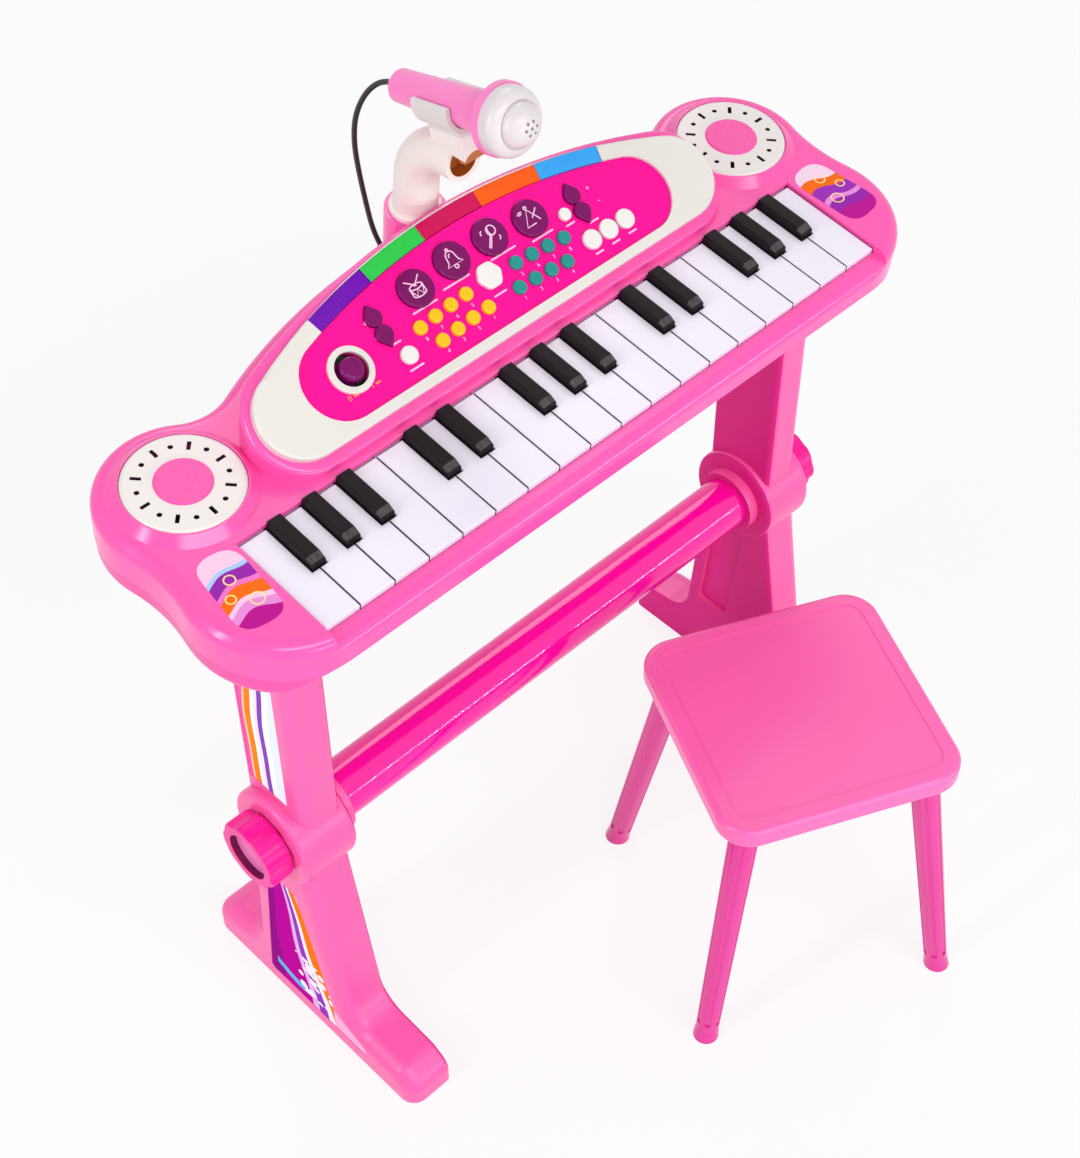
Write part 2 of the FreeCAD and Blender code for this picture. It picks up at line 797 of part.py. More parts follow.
def bottom_case():
    tub_plan = outline("tub_plan", case_wire(z.lower_inset, -z.floor_drop))
    tub = extrude("tub_block", tub_plan, "floor_drop - seam_drop")
    tub = rounded("tub_round_edge", tub, z.floor_round, level(-z.floor_drop))
    tub = cut("tub_slanted", tub, front_wedge("tub_wedge", 0))
    inset = z.lower_inset + z.case_wall
    room_plan = outline("tub_room_plan", case_wire(inset, -z.floor_drop + z.case_wall))
    room = extrude("tub_room_block", room_plan, "floor_drop")
    room = rounded("tub_room_round", room, z.floor_round - z.case_wall, level(-z.floor_drop + z.case_wall))
    room_wedge = front_wedge("tub_room_wedge", z.case_wall)
    shell = cut("tub_shell", tub, cut("tub_room_slanted", room, room_wedge))
    bed = box("strip_bed", key_field, "strip_width", "floor_drop - case_wall / 2 - strip_drop",
              (f"-{half_field}", "strip_front", "-floor_drop + case_wall / 2"))
    added = [shell, bed]
    tools = []
    for side in side_signs:
        middle = f"{side} * ({half_field} + pedestal_gap + pedestal_thick / 2)"
        corner = (f"{middle} - pedestal_thick / 2", "pivot_back - pedestal_half",
                  "-floor_drop + case_wall / 2")
        added.append(box(f"pedestal_{side_names[side]}", "pedestal_thick", "2 * pedestal_half",
                         "floor_drop - case_wall / 2 - tail_drop", corner))
        for row, place in (("front", "screw_front"), ("back", "screw_back")):
            name = f"screw_hole_{row}_{side_names[side]}"
            corner = (f"{side} * screw_across", place, "-floor_drop - overrun")
            tools.append(cylinder(name, "screw_radius + 2 * screw_fit", "2 * overrun", corner))
            tools.append(cylinder(name + "_head", "screw_head_radius + 2 * screw_fit",
                                  "overrun + screw_head_thick", corner))
    wall_back = "arch_back - lower_inset - case_wall / 2"
    added.append(cone("gland", "gland_radius", "gland_tip_radius", f"gland_mouth - ({wall_back})",
                      ("gland_across", wall_back, "-gland_drop"), axis_y))
    bore_half = f"({half_field} + pedestal_gap + pedestal_thick + overrun)"
    tools.append(cylinder("rod_bore", "rod_radius + rod_fit", f"2 * {bore_half}",
                          (f"-{bore_half}", "pivot_back", "-pivot_drop"), axis_x))
    tools.append(box("door_opening", "2 * door_half_length", "door_width", "case_wall + 2 * overrun",
                     ("-door_half_length", "door_front", "-floor_drop - overrun")))
    hand_in("bottom_case", cut("lower_case", fuse("tub_joined", *added), *tools), deck)


def inner_works():
    rod_half = f"({half_field} + pedestal_gap + pedestal_thick)"
    rod = cylinder("pivot_rod", "rod_radius", f"2 * {rod_half}",
                   (f"-{rod_half}", "pivot_back", "-pivot_drop"), axis_x)
    hand_in("key_pivot_rod", group("pivot_rod_group", rod), deck)
    strip = box("strip_sheet", key_field, "strip_width", "strip_thick",
                (f"-{half_field}", "strip_front", "-strip_drop"))
    domes = []
    places = [index + 1 / 2 for index in range(len(notes))]
    places += [index + 1 for index, sharp in enumerate(has_sharp) if sharp]
    for number, place in enumerate(places):
        corner = (f"{place} * key_pitch - {half_field}", "strip_front + strip_width / 2",
                  "-strip_drop + strip_thick")
        domes.append(cone(f"dome_{number}", "dome_radius", "dome_radius / 2", "dome_height", corner))
    hand_in("contact_strip", fuse("strip_joined", strip, *domes), deck)
    drivers = []
    for side in side_signs:
        name = f"driver_{side_names[side]}"
        across = f"{side} * speaker_across"
        ceiling = "deck_rise - case_wall"
        flange = cylinder(name + "_flange", "driver_radius", "driver_flange",
                          (across, "speaker_back", f"{ceiling} - driver_flange"))
        bowl = cone(name + "_bowl", "magnet_radius", "driver_radius - driver_flange", "driver_cone",
                    (across, "speaker_back", f"{ceiling} - driver_flange - driver_cone"))
        magnet = cylinder(name + "_magnet", "magnet_radius", "magnet_depth",
                          (across, "speaker_back", f"{ceiling} - driver_flange - driver_cone - magnet_depth"))
        drivers.append(fuse(name, flange, bowl, magnet))
    hand_in("speaker_drivers", group("driver_pair", *drivers), deck)
    plate = box("door_plate", "2 * (door_half_length - door_fit)", "door_width - 2 * door_fit", "case_wall",
                ("-door_half_length + door_fit", "door_front + door_fit", "-floor_drop"))
    tabs = []
    for name, edge in (("front", "door_front"), ("back", "door_front + door_width - door_fit")):
        tabs.append(box(f"door_tab_{name}", "tab_length", "2 * tab_reach + door_fit", "tab_thick",
                        ("-tab_length / 2", f"{edge} - tab_reach", "-floor_drop + case_wall")))
    hand_in("battery_door", fuse("door_joined", plate, *tabs), deck)
    screws = []
    for side in side_signs:
        for row, place in (("front", "screw_front"), ("back", "screw_back")):
            name = f"screw_{row}_{side_names[side]}"
            corner = (f"{side} * screw_across", place, "-floor_drop")
            head = cylinder(name + "_head", "screw_head_radius", "screw_head_thick", corner)
            shank = cylinder(name + "_shank", "screw_radius", "screw_length", corner)
            screws.append(fuse(name, head, shank))
    hand_in("case_screws", group("screw_set", *screws), deck)


def bezel_and_panel():
    base = -z.panel_thick
    bezel_size = (z.bezel_end_across, z.bezel_end_radius, -z.bezel_front, z.bezel_top)
    panel_size = (z.panel_end_across, z.panel_end_radius, z.panel_front, z.panel_top)
    plan = outline("bezel_plan", lens_wire(*bezel_size, 0, base))
    block = extrude("bezel_block", plan, "panel_thick + bezel_rise")
    block = rounded("bezel_round_edge", block, z.bezel_round, level(z.bezel_rise))
    opening_plan = outline("bezel_opening_plan", lens_wire(*panel_size, -z.panel_gap, base))
    opening = extrude("bezel_opening", opening_plan, "panel_thick + bezel_rise + overrun")
    radius = lens_arc(*panel_size)
    centre = Vector(0, z.panel_top - radius, base)

    def band(start, end, margin):
        def at(distance, angle):
            turn = math.radians(angle)
            return centre + Vector(math.sin(turn), math.cos(turn), 0) * distance
        near = radius + z.panel_gap + margin
        far = radius + z.window_band - margin
        trim = math.degrees(margin / far)
        first = start + trim
        last = end - trim
        return Part.Wire([
            Part.Arc(at(near, first), at(near, (first + last) / 2), at(near, last)).toShape(),
            Part.LineSegment(at(near, last), at(far, last)).toShape(),
            Part.Arc(at(far, last), at(far, (first + last) / 2), at(far, first)).toShape(),
            Part.LineSegment(at(far, first), at(near, first)).toShape(),
        ])

    sweep = window_count * z.window_span
    slot = extrude("window_slot", outline("window_slot_plan", band(-sweep / 2, sweep / 2, 0)),
                   "panel_thick + bezel_rise + overrun")
    frame = cut("bezel_frame", block, opening, slot)
    ring_block = cylinder("power_ring_block", "power_ring_radius", "power_ring_rise",
                          ("-power_across", "power_row", "0"))
    ring_block = rounded("power_ring_round", ring_block, z.bezel_round / 2, level(z.power_ring_rise))
    ring_hole = cylinder("power_ring_hole", "power_hole_radius", "power_ring_rise + 2 * overrun",
                         ("-power_across", "power_row", "-overrun"))
    ring = cut("power_ring", ring_block, ring_hole)
    hand_in("panel_bezel", group("bezel_and_ring", frame, ring), console)
    panes = []
    for index in range(window_count):
        start = index * z.window_span - sweep / 2
        wire = band(start, start + z.window_span, z.window_gap / 2)
        pane_plan = outline(f"window_{index}_plan", wire)
        panes.append(extrude(f"window_{index}", pane_plan, "panel_thick + window_rise"))
    hand_in("light_windows", group("window_set", *panes), console)

    plate = extrude("panel_plate", outline("panel_plan", lens_wire(*panel_size, 0, base)), "panel_thick")
    bosses = []
    for side in side_signs:
        for row in ("front", "back"):
            corner = (f"{side} * boss_{row}_across", f"boss_{row}_row", "-board_drop")
            bosses.append(cylinder(f"panel_boss_{row}_{side_names[side]}", "boss_radius",
                                   "board_drop - panel_thick / 2", corner))
    solid = fuse("panel_joined", plate, *bosses)
    board = box("board_plate", "2 * board_half_length", "board_back - board_front", "board_thick",
                ("-board_half_length", "board_front", "-board_drop - board_thick"))
    hand_in("circuit_board", group("board_group", board), console)
    holes = button_holes()
    holes.append(cylinder("power_hole", "power_hole_radius", "panel_thick + 2 * overrun",
                          ("-power_across", "power_row", "-panel_thick - overrun")))
    hand_in("control_panel", cut("panel_drilled", solid, *holes), console)


def arched(row, across, arc):
    # Place along the slope of a row that bends down towards its ends
    return f"{row} - ({across}) * ({across}) / (2 * {arc})"


def button_places():
    yellow = []
    teal = []
    for number in range(dots_in_row):
        for row in ("front", "back"):
            across = f"(dot_start_{row} + {number} * dot_pitch)"
            place = arched(f"dot_row_{row}", across, "dot_arc")
            yellow.append((f"-{across}", place, "dot_radius"))
            teal.append((across, place, "dot_radius"))
    pads = []
    for number in range(dots_in_row):
        across = f"({number} - ({dots_in_row} - 1) / 2) * pad_pitch"
        pads.append((across, arched("pad_row", across, "pad_arc"), "pad_radius"))
    white = [("-choice_across", "choice_row", "mode_radius"), ("demo_across", "demo_row", "demo_radius")]
    for number in range(choice_count):
        white.append((f"choice_across + {number} * choice_pitch", "choice_row", "choice_radius"))
    return {
        "yellow_buttons": yellow,
        "teal_buttons": teal,
        "picture_pads": pads,
        "white_buttons": white,
    }


stem_drop = "board_drop - button_travel - button_spare"


def leaf_wire(across, row, upward, margin, height):
    # A round leaf with one pointed end
    centre = Vector(across, row, height)
    radius = z.leaf_radius + margin
    tip = centre + axis_y * (upward * (z.leaf_tip + margin))
    turn = math.acos(radius / (z.leaf_tip + margin))
    side = Vector(math.sin(turn), upward * math.cos(turn), 0) * radius
    right = centre + side
    left = centre + Vector(-side.x, side.y, 0)
    back = centre - axis_y * (upward * radius)
    return Part.Wire([
        Part.Arc(left, back, right).toShape(),
        Part.LineSegment(right, tip).toShape(),
        Part.LineSegment(tip, left).toShape(),
    ])


def leaves(name, margin, low, length):
    items = []
    for side in side_signs:
        for upward in side_signs:
            row = z.leaf_row + upward * z.leaf_spread / 2
            wire = leaf_wire(side * z.leaf_across, row, upward, margin, low)
            place = f"{side_names[side]}_{'upper' if upward > 0 else 'lower'}"
            items.append(extrude(f"{name}_{place}", outline(f"{name}_{place}_plan", wire), length))
    return items


def flower(name, margin, low, length):
    # The middle button, a hexagon with round corners
    points = []
    for number in range(flower_corners):
        turn = math.radians(360 * number / flower_corners)
        reach = z.flower_radius + margin
        points.append(Vector(reach * math.cos(turn), z.flower_row + reach * math.sin(turn), low))
    wire = rounded_wire(points, [z.flower_corner] * flower_corners)
    return extrude(name, outline(name + "_plan", wire), length)


def button_holes():
    low = -z.panel_thick - z.overrun
    through = "panel_thick + 2 * overrun"
    holes = leaves("leaf_hole", z.button_fit, low, through)
    holes.append(flower("flower_hole", z.button_fit, low, through))
    for label, places in button_places().items():
        for number, (across, row, radius) in enumerate(places):
            holes.append(cylinder(f"{label}_hole_{number}", f"{radius} + button_fit", through,
                                  (across, row, "-panel_thick - overrun")))
    return holes


def buttons():
    low = -(z.board_drop - z.button_travel - z.button_spare)
    length = f"{stem_drop} + button_rise"
    for label, places in button_places().items():
        stems = []
        if label == "white_buttons":
            stems.append(flower("flower", 0, low, length))
        for number, (across, row, radius) in enumerate(places):
            stems.append(cylinder(f"{label}_stem_{number}", radius, length, (across, row, f"-({stem_drop})")))
        stems = group(label + "_stems", *stems)
        hand_in(label, rounded(label + "_round", stems, z.button_round, level(z.button_rise)), console)
    stems = group("leaf_stems", *leaves("leaf", 0, low, length))
    hand_in("leaf_buttons", rounded("leaf_round", stems, z.button_round / 2, level(z.button_rise)), console)
    jewel = cylinder("jewel", "jewel_radius", "jewel_rise + panel_thick + carriage_fit",
                     ("-power_across", "power_row", "-panel_thick - carriage_fit"))
    jewel = rounded("jewel_round_edge", jewel, z.jewel_round, level(z.jewel_rise))
    carriage = box("carriage", "carriage_length", "carriage_width", "carriage_thick",
                   ("-power_across - carriage_length / 2", "power_row - carriage_width / 2",
                    "-panel_thick - carriage_fit - carriage_thick"))
    hand_in("power_slider", fuse("slider_joined", jewel, carriage), console)


def speaker_grilles():
    grilles = []
    for side in side_signs:
        name = f"grille_{side_names[side]}"
        middle = (f"{side} * speaker_across", "speaker_back")
        block = cylinder(name + "_block", "grille_radius", "grille_rise", (*middle, "deck_rise"))
        block = rounded(name + "_round_edge", block, z.grille_round, level(z.deck_rise + z.grille_rise))
        cap = cylinder(name + "_cap", "cap_radius", "cap_rise + grille_skin",
                       (*middle, "deck_rise + grille_rise - grille_skin"))
        cap = rounded(name + "_cap_round", cap, z.cap_rise, level(z.deck_rise + z.grille_rise + z.cap_rise))
        room = cylinder(name + "_room", "grille_radius - grille_round", "grille_rise - grille_skin + overrun",
                        (*middle, "deck_rise - overrun"))
        tools = [room]
        centre = Vector(side * z.speaker_across, z.speaker_back, z.deck_rise)
        for number in range(slot_count):
            turn = Rotation(axis_z, 360 * number / slot_count)
            bar = box(f"{name}_slot_{number}", "slot_length", "slot_width", "grille_rise + overrun",
                      ("slot_start", "-slot_width / 2", "0"))
            tools.append(carried(bar, Placement(centre, turn)))
            turn = Rotation(axis_z, 360 * (number + 1 / 2) / slot_count)
            dot = cylinder(f"{name}_dot_{number}", "slot_dot_radius", "grille_rise + overrun",
                           ("slot_dot_place", "0", "0"))
            tools.append(carried(dot, Placement(centre, turn)))
        grilles.append(cut(name, fuse(name + "_joined", block, cap), *tools))
    hand_in("speaker_grilles", group("grille_pair", *grilles), deck)


def handle_radius(along):
    share = (along - z.tail_length) / (z.handle_length - z.tail_length)
    return z.handle_tail_radius + (z.handle_front_radius - z.handle_tail_radius) * share


def revolved(label, edges):
    body, sketch = sketch_body(label, "XZ_Plane", edges)
    turn = body.newObject("PartDesign::Revolution", label + "_turn")
    turn.Profile = sketch
    turn.ReferenceAxis = (sketch, ["V_Axis"])
    turn.Angle = 360
    body.Tip = turn
    return body


def mic():
    flare = z.handle_length + z.flare_length
    front = flare + z.flange_thick
    corners = [
        (0, 0),
        (z.tail_face_radius, 0),
        (z.handle_tail_radius, z.tail_length),
        (z.handle_front_radius, z.handle_length),
        (z.flange_radius, flare),
        (z.flange_radius, front),
        (0, front),
    ]
    body = revolved("mic_handle", polygon([Vector(*corner, 0) for corner in corners]))
    hand_in("mic_body", body, microphone)
    rim = front + z.head_rim
    shoulder = rim + z.head_shoulder
    step = shoulder - z.head_step
    dome_top = step + z.head_dome
    dome_radius = z.head_shoulder_radius - z.head_step
    round_radius = (z.head_radius + z.head_shoulder_radius) / 2
    round_middle = Vector(round_radius + z.head_step, (rim + shoulder) / 2 + z.head_step, 0)
    dome_middle = Vector(dome_radius * math.cos(math.pi / 4), step + z.head_dome * math.sin(math.pi / 4), 0)
    line = Part.LineSegment
    edges = [
        line(Vector(0, front, 0), Vector(z.head_radius, front, 0)),
        line(Vector(z.head_radius, front, 0), Vector(z.head_radius, rim, 0)),
        Part.Arc(Vector(z.head_radius, rim, 0), round_middle, Vector(z.head_shoulder_radius, shoulder, 0)),
        line(Vector(z.head_shoulder_radius, shoulder, 0), Vector(dome_radius, step, 0)),
        Part.Arc(Vector(dome_radius, step, 0), dome_middle, Vector(0, dome_top, 0)),
        line(Vector(0, dome_top, 0), Vector(0, front, 0)),
    ]
    head = revolved("mic_dome", edges)
    drills = []
    for number in range(mic_hole_count + 1):
        turn = math.radians(360 * number / mic_hole_count)
        place = 0 if number == mic_hole_count else z.hole_ring
        drill = doc.addObject("Part::Cylinder", f"mic_hole_{number}")
        bind(drill, Radius="hole_radius", Height="hole_depth + overrun")
        drill.Placement.Base = Vector(place * math.cos(turn), place * math.sin(turn), dome_top - z.hole_depth)
        drills.append(drill)
    hand_in("mic_head", cut("mic_head_drilled", head, *drills), microphone)


def mic_holder():
    base = z.socket_top - z.socket_depth
    collar = cylinder("collar", "collar_radius", "socket_depth + collar_rise",
                      ("0", "socket_back", "socket_top - socket_depth"))
    collar = rounded("collar_round_edge", collar, z.collar_round, level(z.socket_top + z.collar_rise))
    start = Vector(0, z.socket_back, base + z.collar_round)
    bend_start = Vector(0, z.socket_back, z.socket_top + z.collar_rise + z.neck_straight)
    centre = bend_start - axis_y * z.neck_bend

    def on_bend(angle):
        turn = math.radians(angle)
        return centre + Vector(0, math.cos(turn), math.sin(turn)) * z.neck_bend

    bend_end = on_bend(z.neck_turn)
    turn = math.radians(z.neck_turn)
    ahead = Vector(0, -math.sin(turn), math.cos(turn))
    nose = bend_end + ahead * z.nose_length
    path = Part.Wire([
        Part.LineSegment(start, bend_start).toShape(),
        Part.Arc(bend_start, on_bend(z.neck_turn / 2), bend_end).toShape(),
        Part.LineSegment(bend_end, nose).toShape(),
    ])
    neck = doc.addObject("Part::Feature", "neck")
    neck.Shape = path.makePipeShell([ring_wire(start, z.neck_radius)], True, False)
    bore = doc.addObject("Part::Cylinder", "nose_bore_drill")
    bind(bore, Radius="nose_bore", Height="nose_depth + overrun")
    bore.Placement = Placement(nose - ahead * z.nose_depth, Rotation(axis_z, ahead))
    stem = cut("neck_bored", fuse("neck_joined", collar, neck), bore)
    stem.Placement = deck

    end = z.cradle_start + z.cradle_length
    block = cylinder("cradle_block", "cradle_radius", "cradle_length", ("0", "0", "cradle_start"))
    saddle = box("cradle_saddle", "2 * saddle_half", "saddle_drop", "cradle_length - 2 * saddle_inset",
                 ("-saddle_half", "-saddle_drop", "cradle_start + saddle_inset"))
    hollow = doc.addObject("Part::Cone", "cradle_hollow")
    hollow.Radius1 = handle_radius(z.cradle_start - z.overrun) + z.cradle_fit
    hollow.Radius2 = handle_radius(end + z.overrun) + z.cradle_fit
    bind(hollow, Height="cradle_length + 2 * overrun")
    hollow.Placement.Base = Vector(0, 0, z.cradle_start - z.overrun)
    mouth = doc.addObject("Part::Box", "cradle_mouth")
    mouth.Length = 2 * (handle_radius(end) + z.cradle_fit)
    bind(mouth, Width="2 * cradle_radius", Height="cradle_length + 2 * overrun")
    mouth.Placement.Base = Vector(-handle_radius(end) - z.cradle_fit, 0, z.cradle_start - z.overrun)
    above = box("cradle_above", "4 * cradle_radius", "2 * cradle_radius", "cradle_length + 2 * overrun",
                ("-2 * cradle_radius", "cradle_jaw", "cradle_start - overrun"))
    cradle = cut("cradle", fuse("cradle_joined", block, saddle), hollow, mouth, above)
    cradle.Placement = microphone
    cradle_clear = cut("cradle_clear", cradle, carried(bore, deck))
    hand_in("mic_holder", fuse("holder_joined", stem, cradle_clear), floor)


def mic_cord():
    points = [Vector(across, along, z.deck_height + height) for across, along, height in cord_route]
    edges = []
    radii = []
    start = points[0]
    for before, point, after in zip(points, points[1:], points[2:]):
        back = before - point
        ahead = after - point
        shorter = min(back.Length, ahead.Length)
        turn = math.pi - back.getAngle(ahead)
        radii.append(run_share * shorter / math.tan(turn / 2))
        back.normalize()
        ahead.normalize()
        bend_start = point + back * (run_share * shorter)
        bend_end = point + ahead * (run_share * shorter)
        bisector = back + ahead
        bisector.normalize()
        centre = point + bisector * (radii[-1] / math.cos(turn / 2))
        edges.append(Part.LineSegment(start, bend_start).toShape())
        edges.append(arc_about(centre, bend_start, bend_end))
        start = bend_end
    edges.append(Part.LineSegment(start, points[-1]).toShape())
    path = Part.Wire(edges)
    section = Part.Wire([Part.Circle(points[0], points[1] - points[0], z.cord_radius).toShape()])
    cord = doc.addObject("Part::Feature", "cord_tube")
    cord.Shape = path.makePipeShell([section], True, False)
    expected = math.pi * z.cord_radius ** 2 * path.Length
    print("cord radii", [round(radius, 1) for radius in radii])
    share = cord.Shape.Volume / expected
    print(f"cord length {path.Length:.1f}, volume over section times length {share:.4f}")
    hand_in("mic_cord", cord, floor)


def side_outline(name, corners, radii, across):
    return outline(name, rounded_wire([Vector(across, along, height) for along, height in corners], radii))


def rims(edge):
    # Chooses the edges that lie in a plane across X
    places = [vertex.X for vertex in edge.Vertexes]
    return max(places) - min(places) < z.edge_match


def stand():
    corners = [
        (-z.sole_front, 0),
        (z.sole_back, 0),
        (z.sole_back, z.tip_height),
        (z.sole_back - z.tip_run, z.toe_height),
        (z.kink_back, z.kink_height),
        (z.post_back, z.hub_height),
        (z.post_front, z.hub_height),
        (z.kink_front, z.kink_height),
        (-z.sole_front + z.tip_run, z.toe_height),
        (-z.sole_front, z.tip_height),
    ]
    small = z.foot_corner / 3
    toe_radii = [z.foot_corner, z.foot_corner, z.kink_round]
    radii = [0, 0, *toe_radii, z.foot_corner, z.foot_corner, *reversed(toe_radii)]
    leg_side = side_outline("leg_side", corners, radii, z.stand_inner)
    leg = extrude("leg_block", leg_side, "leg_width", axis_x)

    def rim_at(across):
        def chosen(edge):
            return rims(edge) and not level(0)(edge) and abs(edge.CenterOfMass.x - across) < z.edge_match
        return chosen

    leg = rounded("leg_inner_edge", leg, z.leg_round, rim_at(z.stand_inner))
    leg = rounded("leg_outer_edge", leg, z.leg_soft_round, rim_at(z.leg_outer))
    inset = z.foot_label_inset
    label_corners = [
        (z.kink_back - inset, z.foot_label_low),
        (z.post_back - inset, z.foot_label_height),
        (z.post_front + inset, z.foot_label_height),
        (z.kink_front + inset, z.kink_height),
        (-z.sole_front + z.tip_run + inset, z.foot_label_low),
    ]
    label_side = side_outline("leg_label_side", label_corners, [small] * len(label_corners),
                              z.leg_outer - z.label_depth)
    label = extrude("leg_label", label_side, "overrun", axis_x)
    pocket_corners = [
        (z.pocket_low_front, z.pocket_low),
        (z.pocket_low_back, z.pocket_low),
        (z.pocket_high_back, z.pocket_high),
        (z.pocket_high_front, z.pocket_high),
    ]
    pocket_side = side_outline("leg_pocket_side", pocket_corners, [small] * len(pocket_corners),
                               z.stand_inner - z.overrun)
    pocket = extrude("leg_pocket", pocket_side, "overrun + pocket_depth", axis_x)
    wall = z.foot_wall
    hollow_top = z.hub_height - z.hub_radius - wall
    hollow_corners = [
        (z.kink_front + wall, -z.overrun),
        (z.kink_back - wall, -z.overrun),
        (z.kink_back - wall, z.kink_height),
        (z.post_back - wall, hollow_top),
        (z.post_front + wall, hollow_top),
        (z.kink_front + wall, z.kink_height),
    ]
    hollow_side = side_outline("leg_hollow_side", hollow_corners, [small] * len(hollow_corners),
                               z.stand_inner + z.pocket_depth + wall)
    hollow = extrude("leg_hollow", hollow_side, "leg_width - pocket_depth - 2 * foot_wall",
                     axis_x)
    hub = cylinder("hub", "hub_radius", "hub_outer - hub_inner",
                   ("hub_inner", "hub_back", "hub_height"), axis_x)
    hub = rounded("hub_round_edge", hub, z.hub_round, rims)
    ring = cylinder("bar_ring", "bar_ring_radius", "bar_ring_length + hub_round",
                    ("hub_inner - bar_ring_length", "hub_back", "hub_height"), axis_x)
    ring_hole = cylinder("bar_ring_hole", "bar_radius + bar_fit", "bar_ring_length + overrun",
                         ("hub_inner - bar_ring_length - overrun", "hub_back", "hub_height"), axis_x)
    bolt_hole = cylinder("bolt_hole", "bolt_radius + bolt_fit", "4 * hub_radius",
                         ("hub_inner - hub_radius", "hub_back", "hub_height"), axis_x)
    foot = cut("right_foot", fuse("foot_joined", leg, hub, ring), label, pocket, hollow, ring_hole, bolt_hole)
    hand_in("stand_feet", group("foot_pair", foot, mirrored("left_foot", foot)), floor)

    post = box("post_block", "post_width", "post_back - post_front", "deck_height - hub_height",
               ("stand_inner", "post_front", "hub_height"))

    def upright(edge):
        heights = [vertex.Z for vertex in edge.Vertexes]
        return max(heights) - min(heights) > z.hub_radius

    def upright_at(across, along):
        def chosen(edge):
            middle = edge.CenterOfMass
            return upright(edge) and math.hypot(middle.x - across, middle.y - along) < z.edge_match
        return chosen

    post = rounded("post_corner_edge", post, z.post_corner, upright_at(z.post_outer, z.post_front))

    def small_upright(edge):
        middle = edge.CenterOfMass
        at_back = abs(middle.y - z.post_back) < z.edge_match
        at_inner_front = math.hypot(middle.x - z.stand_inner, middle.y - z.post_front) < z.edge_match
        return upright(edge) and (at_back or at_inner_front)

    post = rounded("post_round_edge", post, z.post_round, small_upright)
    label_low = "hub_height + hub_radius + post_label_low"
    post_label = box("post_label", "overrun", "post_back - post_front - post_corner - 2 * post_label_inset",
                     f"deck_height - floor_drop - post_label_high - ({label_low})",
                     ("post_outer - label_depth", "post_front + post_corner + post_label_inset", label_low))
    post_hollow = box("post_hollow", "post_width - 2 * post_wall",
                      "post_back - post_front - 2 * post_wall", "deck_height",
                      ("stand_inner + post_wall", "post_front + post_wall",
                       "hub_height + hub_radius + post_plug"))
    post_hollow = rounded("post_hollow_corner", post_hollow, z.post_corner - z.post_wall,
                          upright_at(z.post_outer - z.post_wall, z.post_front + z.post_wall))
    hub_room = cylinder("hub_room", "hub_radius + hub_fit", "4 * hub_radius",
                        ("stand_inner - 2 * hub_radius", "hub_back", "hub_height"), axis_x)
    case_room = box("case_room", "2 * post_outer", "2 * arch_back", "2 * floor_drop",
                    ("0", "-arch_back / 2", "-floor_drop"))
    right = cut("right_post", post, post_label, post_hollow, hub_room, carried(case_room, deck))
    hand_in("stand_posts", group("post_pair", right, mirrored("left_post", right)), floor)

    bar = cylinder("bar_tube", "bar_radius", "2 * hub_inner",
                   ("-hub_inner", "hub_back", "hub_height"), axis_x)
    bar_bore = cylinder("bar_bore", "bolt_radius + bolt_fit", "4 * hub_inner",
                        ("-2 * hub_inner", "hub_back", "hub_height"), axis_x)
    bar_hollow = cylinder("bar_hollow", "bar_radius - bar_wall", "2 * (hub_inner - bar_plug)",
                          ("-hub_inner + bar_plug", "hub_back", "hub_height"), axis_x)
    hand_in("crossbar", cut("bar_bored", bar, bar_bore, bar_hollow), floor)


def knob(label, side):
    # Scalloped hand knob on its bolt, along +X from the hub's outer face
    body = cylinder(label + "_disc", "knob_radius", "knob_thick", ("0", "0", "0"), axis_x)
    body = rounded(label + "_disc_round", body, z.knob_round, rims)
    tools = [cylinder(label + "_dish", "knob_dish_radius", "knob_dish_depth + overrun",
                      ("knob_thick - knob_dish_depth", "0", "0"), axis_x)]
    distance = z.knob_radius + z.scallop_radius - z.scallop_depth
    for number in range(scallop_count):
        turn = math.radians(360 * number / scallop_count)
        scallop = doc.addObject("Part::Cylinder", f"{label}_scallop_{number}")
        bind(scallop, Radius="scallop_radius", Height="knob_thick + 2 * overrun")
        base = Vector(-z.overrun, distance * math.cos(turn), distance * math.sin(turn))
        scallop.Placement = Placement(base, Rotation(axis_z, axis_x))
        tools.append(scallop)
    grip = cut(label + "_grip", body, *tools)
    bolt_reach = "(bolt_length + hub_outer - hub_inner + knob_gap)"
    bolt = cylinder(label + "_bolt", "bolt_radius", f"{bolt_reach} + knob_thick / 2",
                    (f"-{bolt_reach}", "0", "0"), axis_x)
    turn = Rotation() if side > 0 else Rotation(axis_z, 180)
    place = Vector(side * (z.hub_outer + z.knob_gap), z.hub_back, z.hub_height)
    hand_in(label, fuse(label + "_joined", grip, bolt), Placement(place, turn))


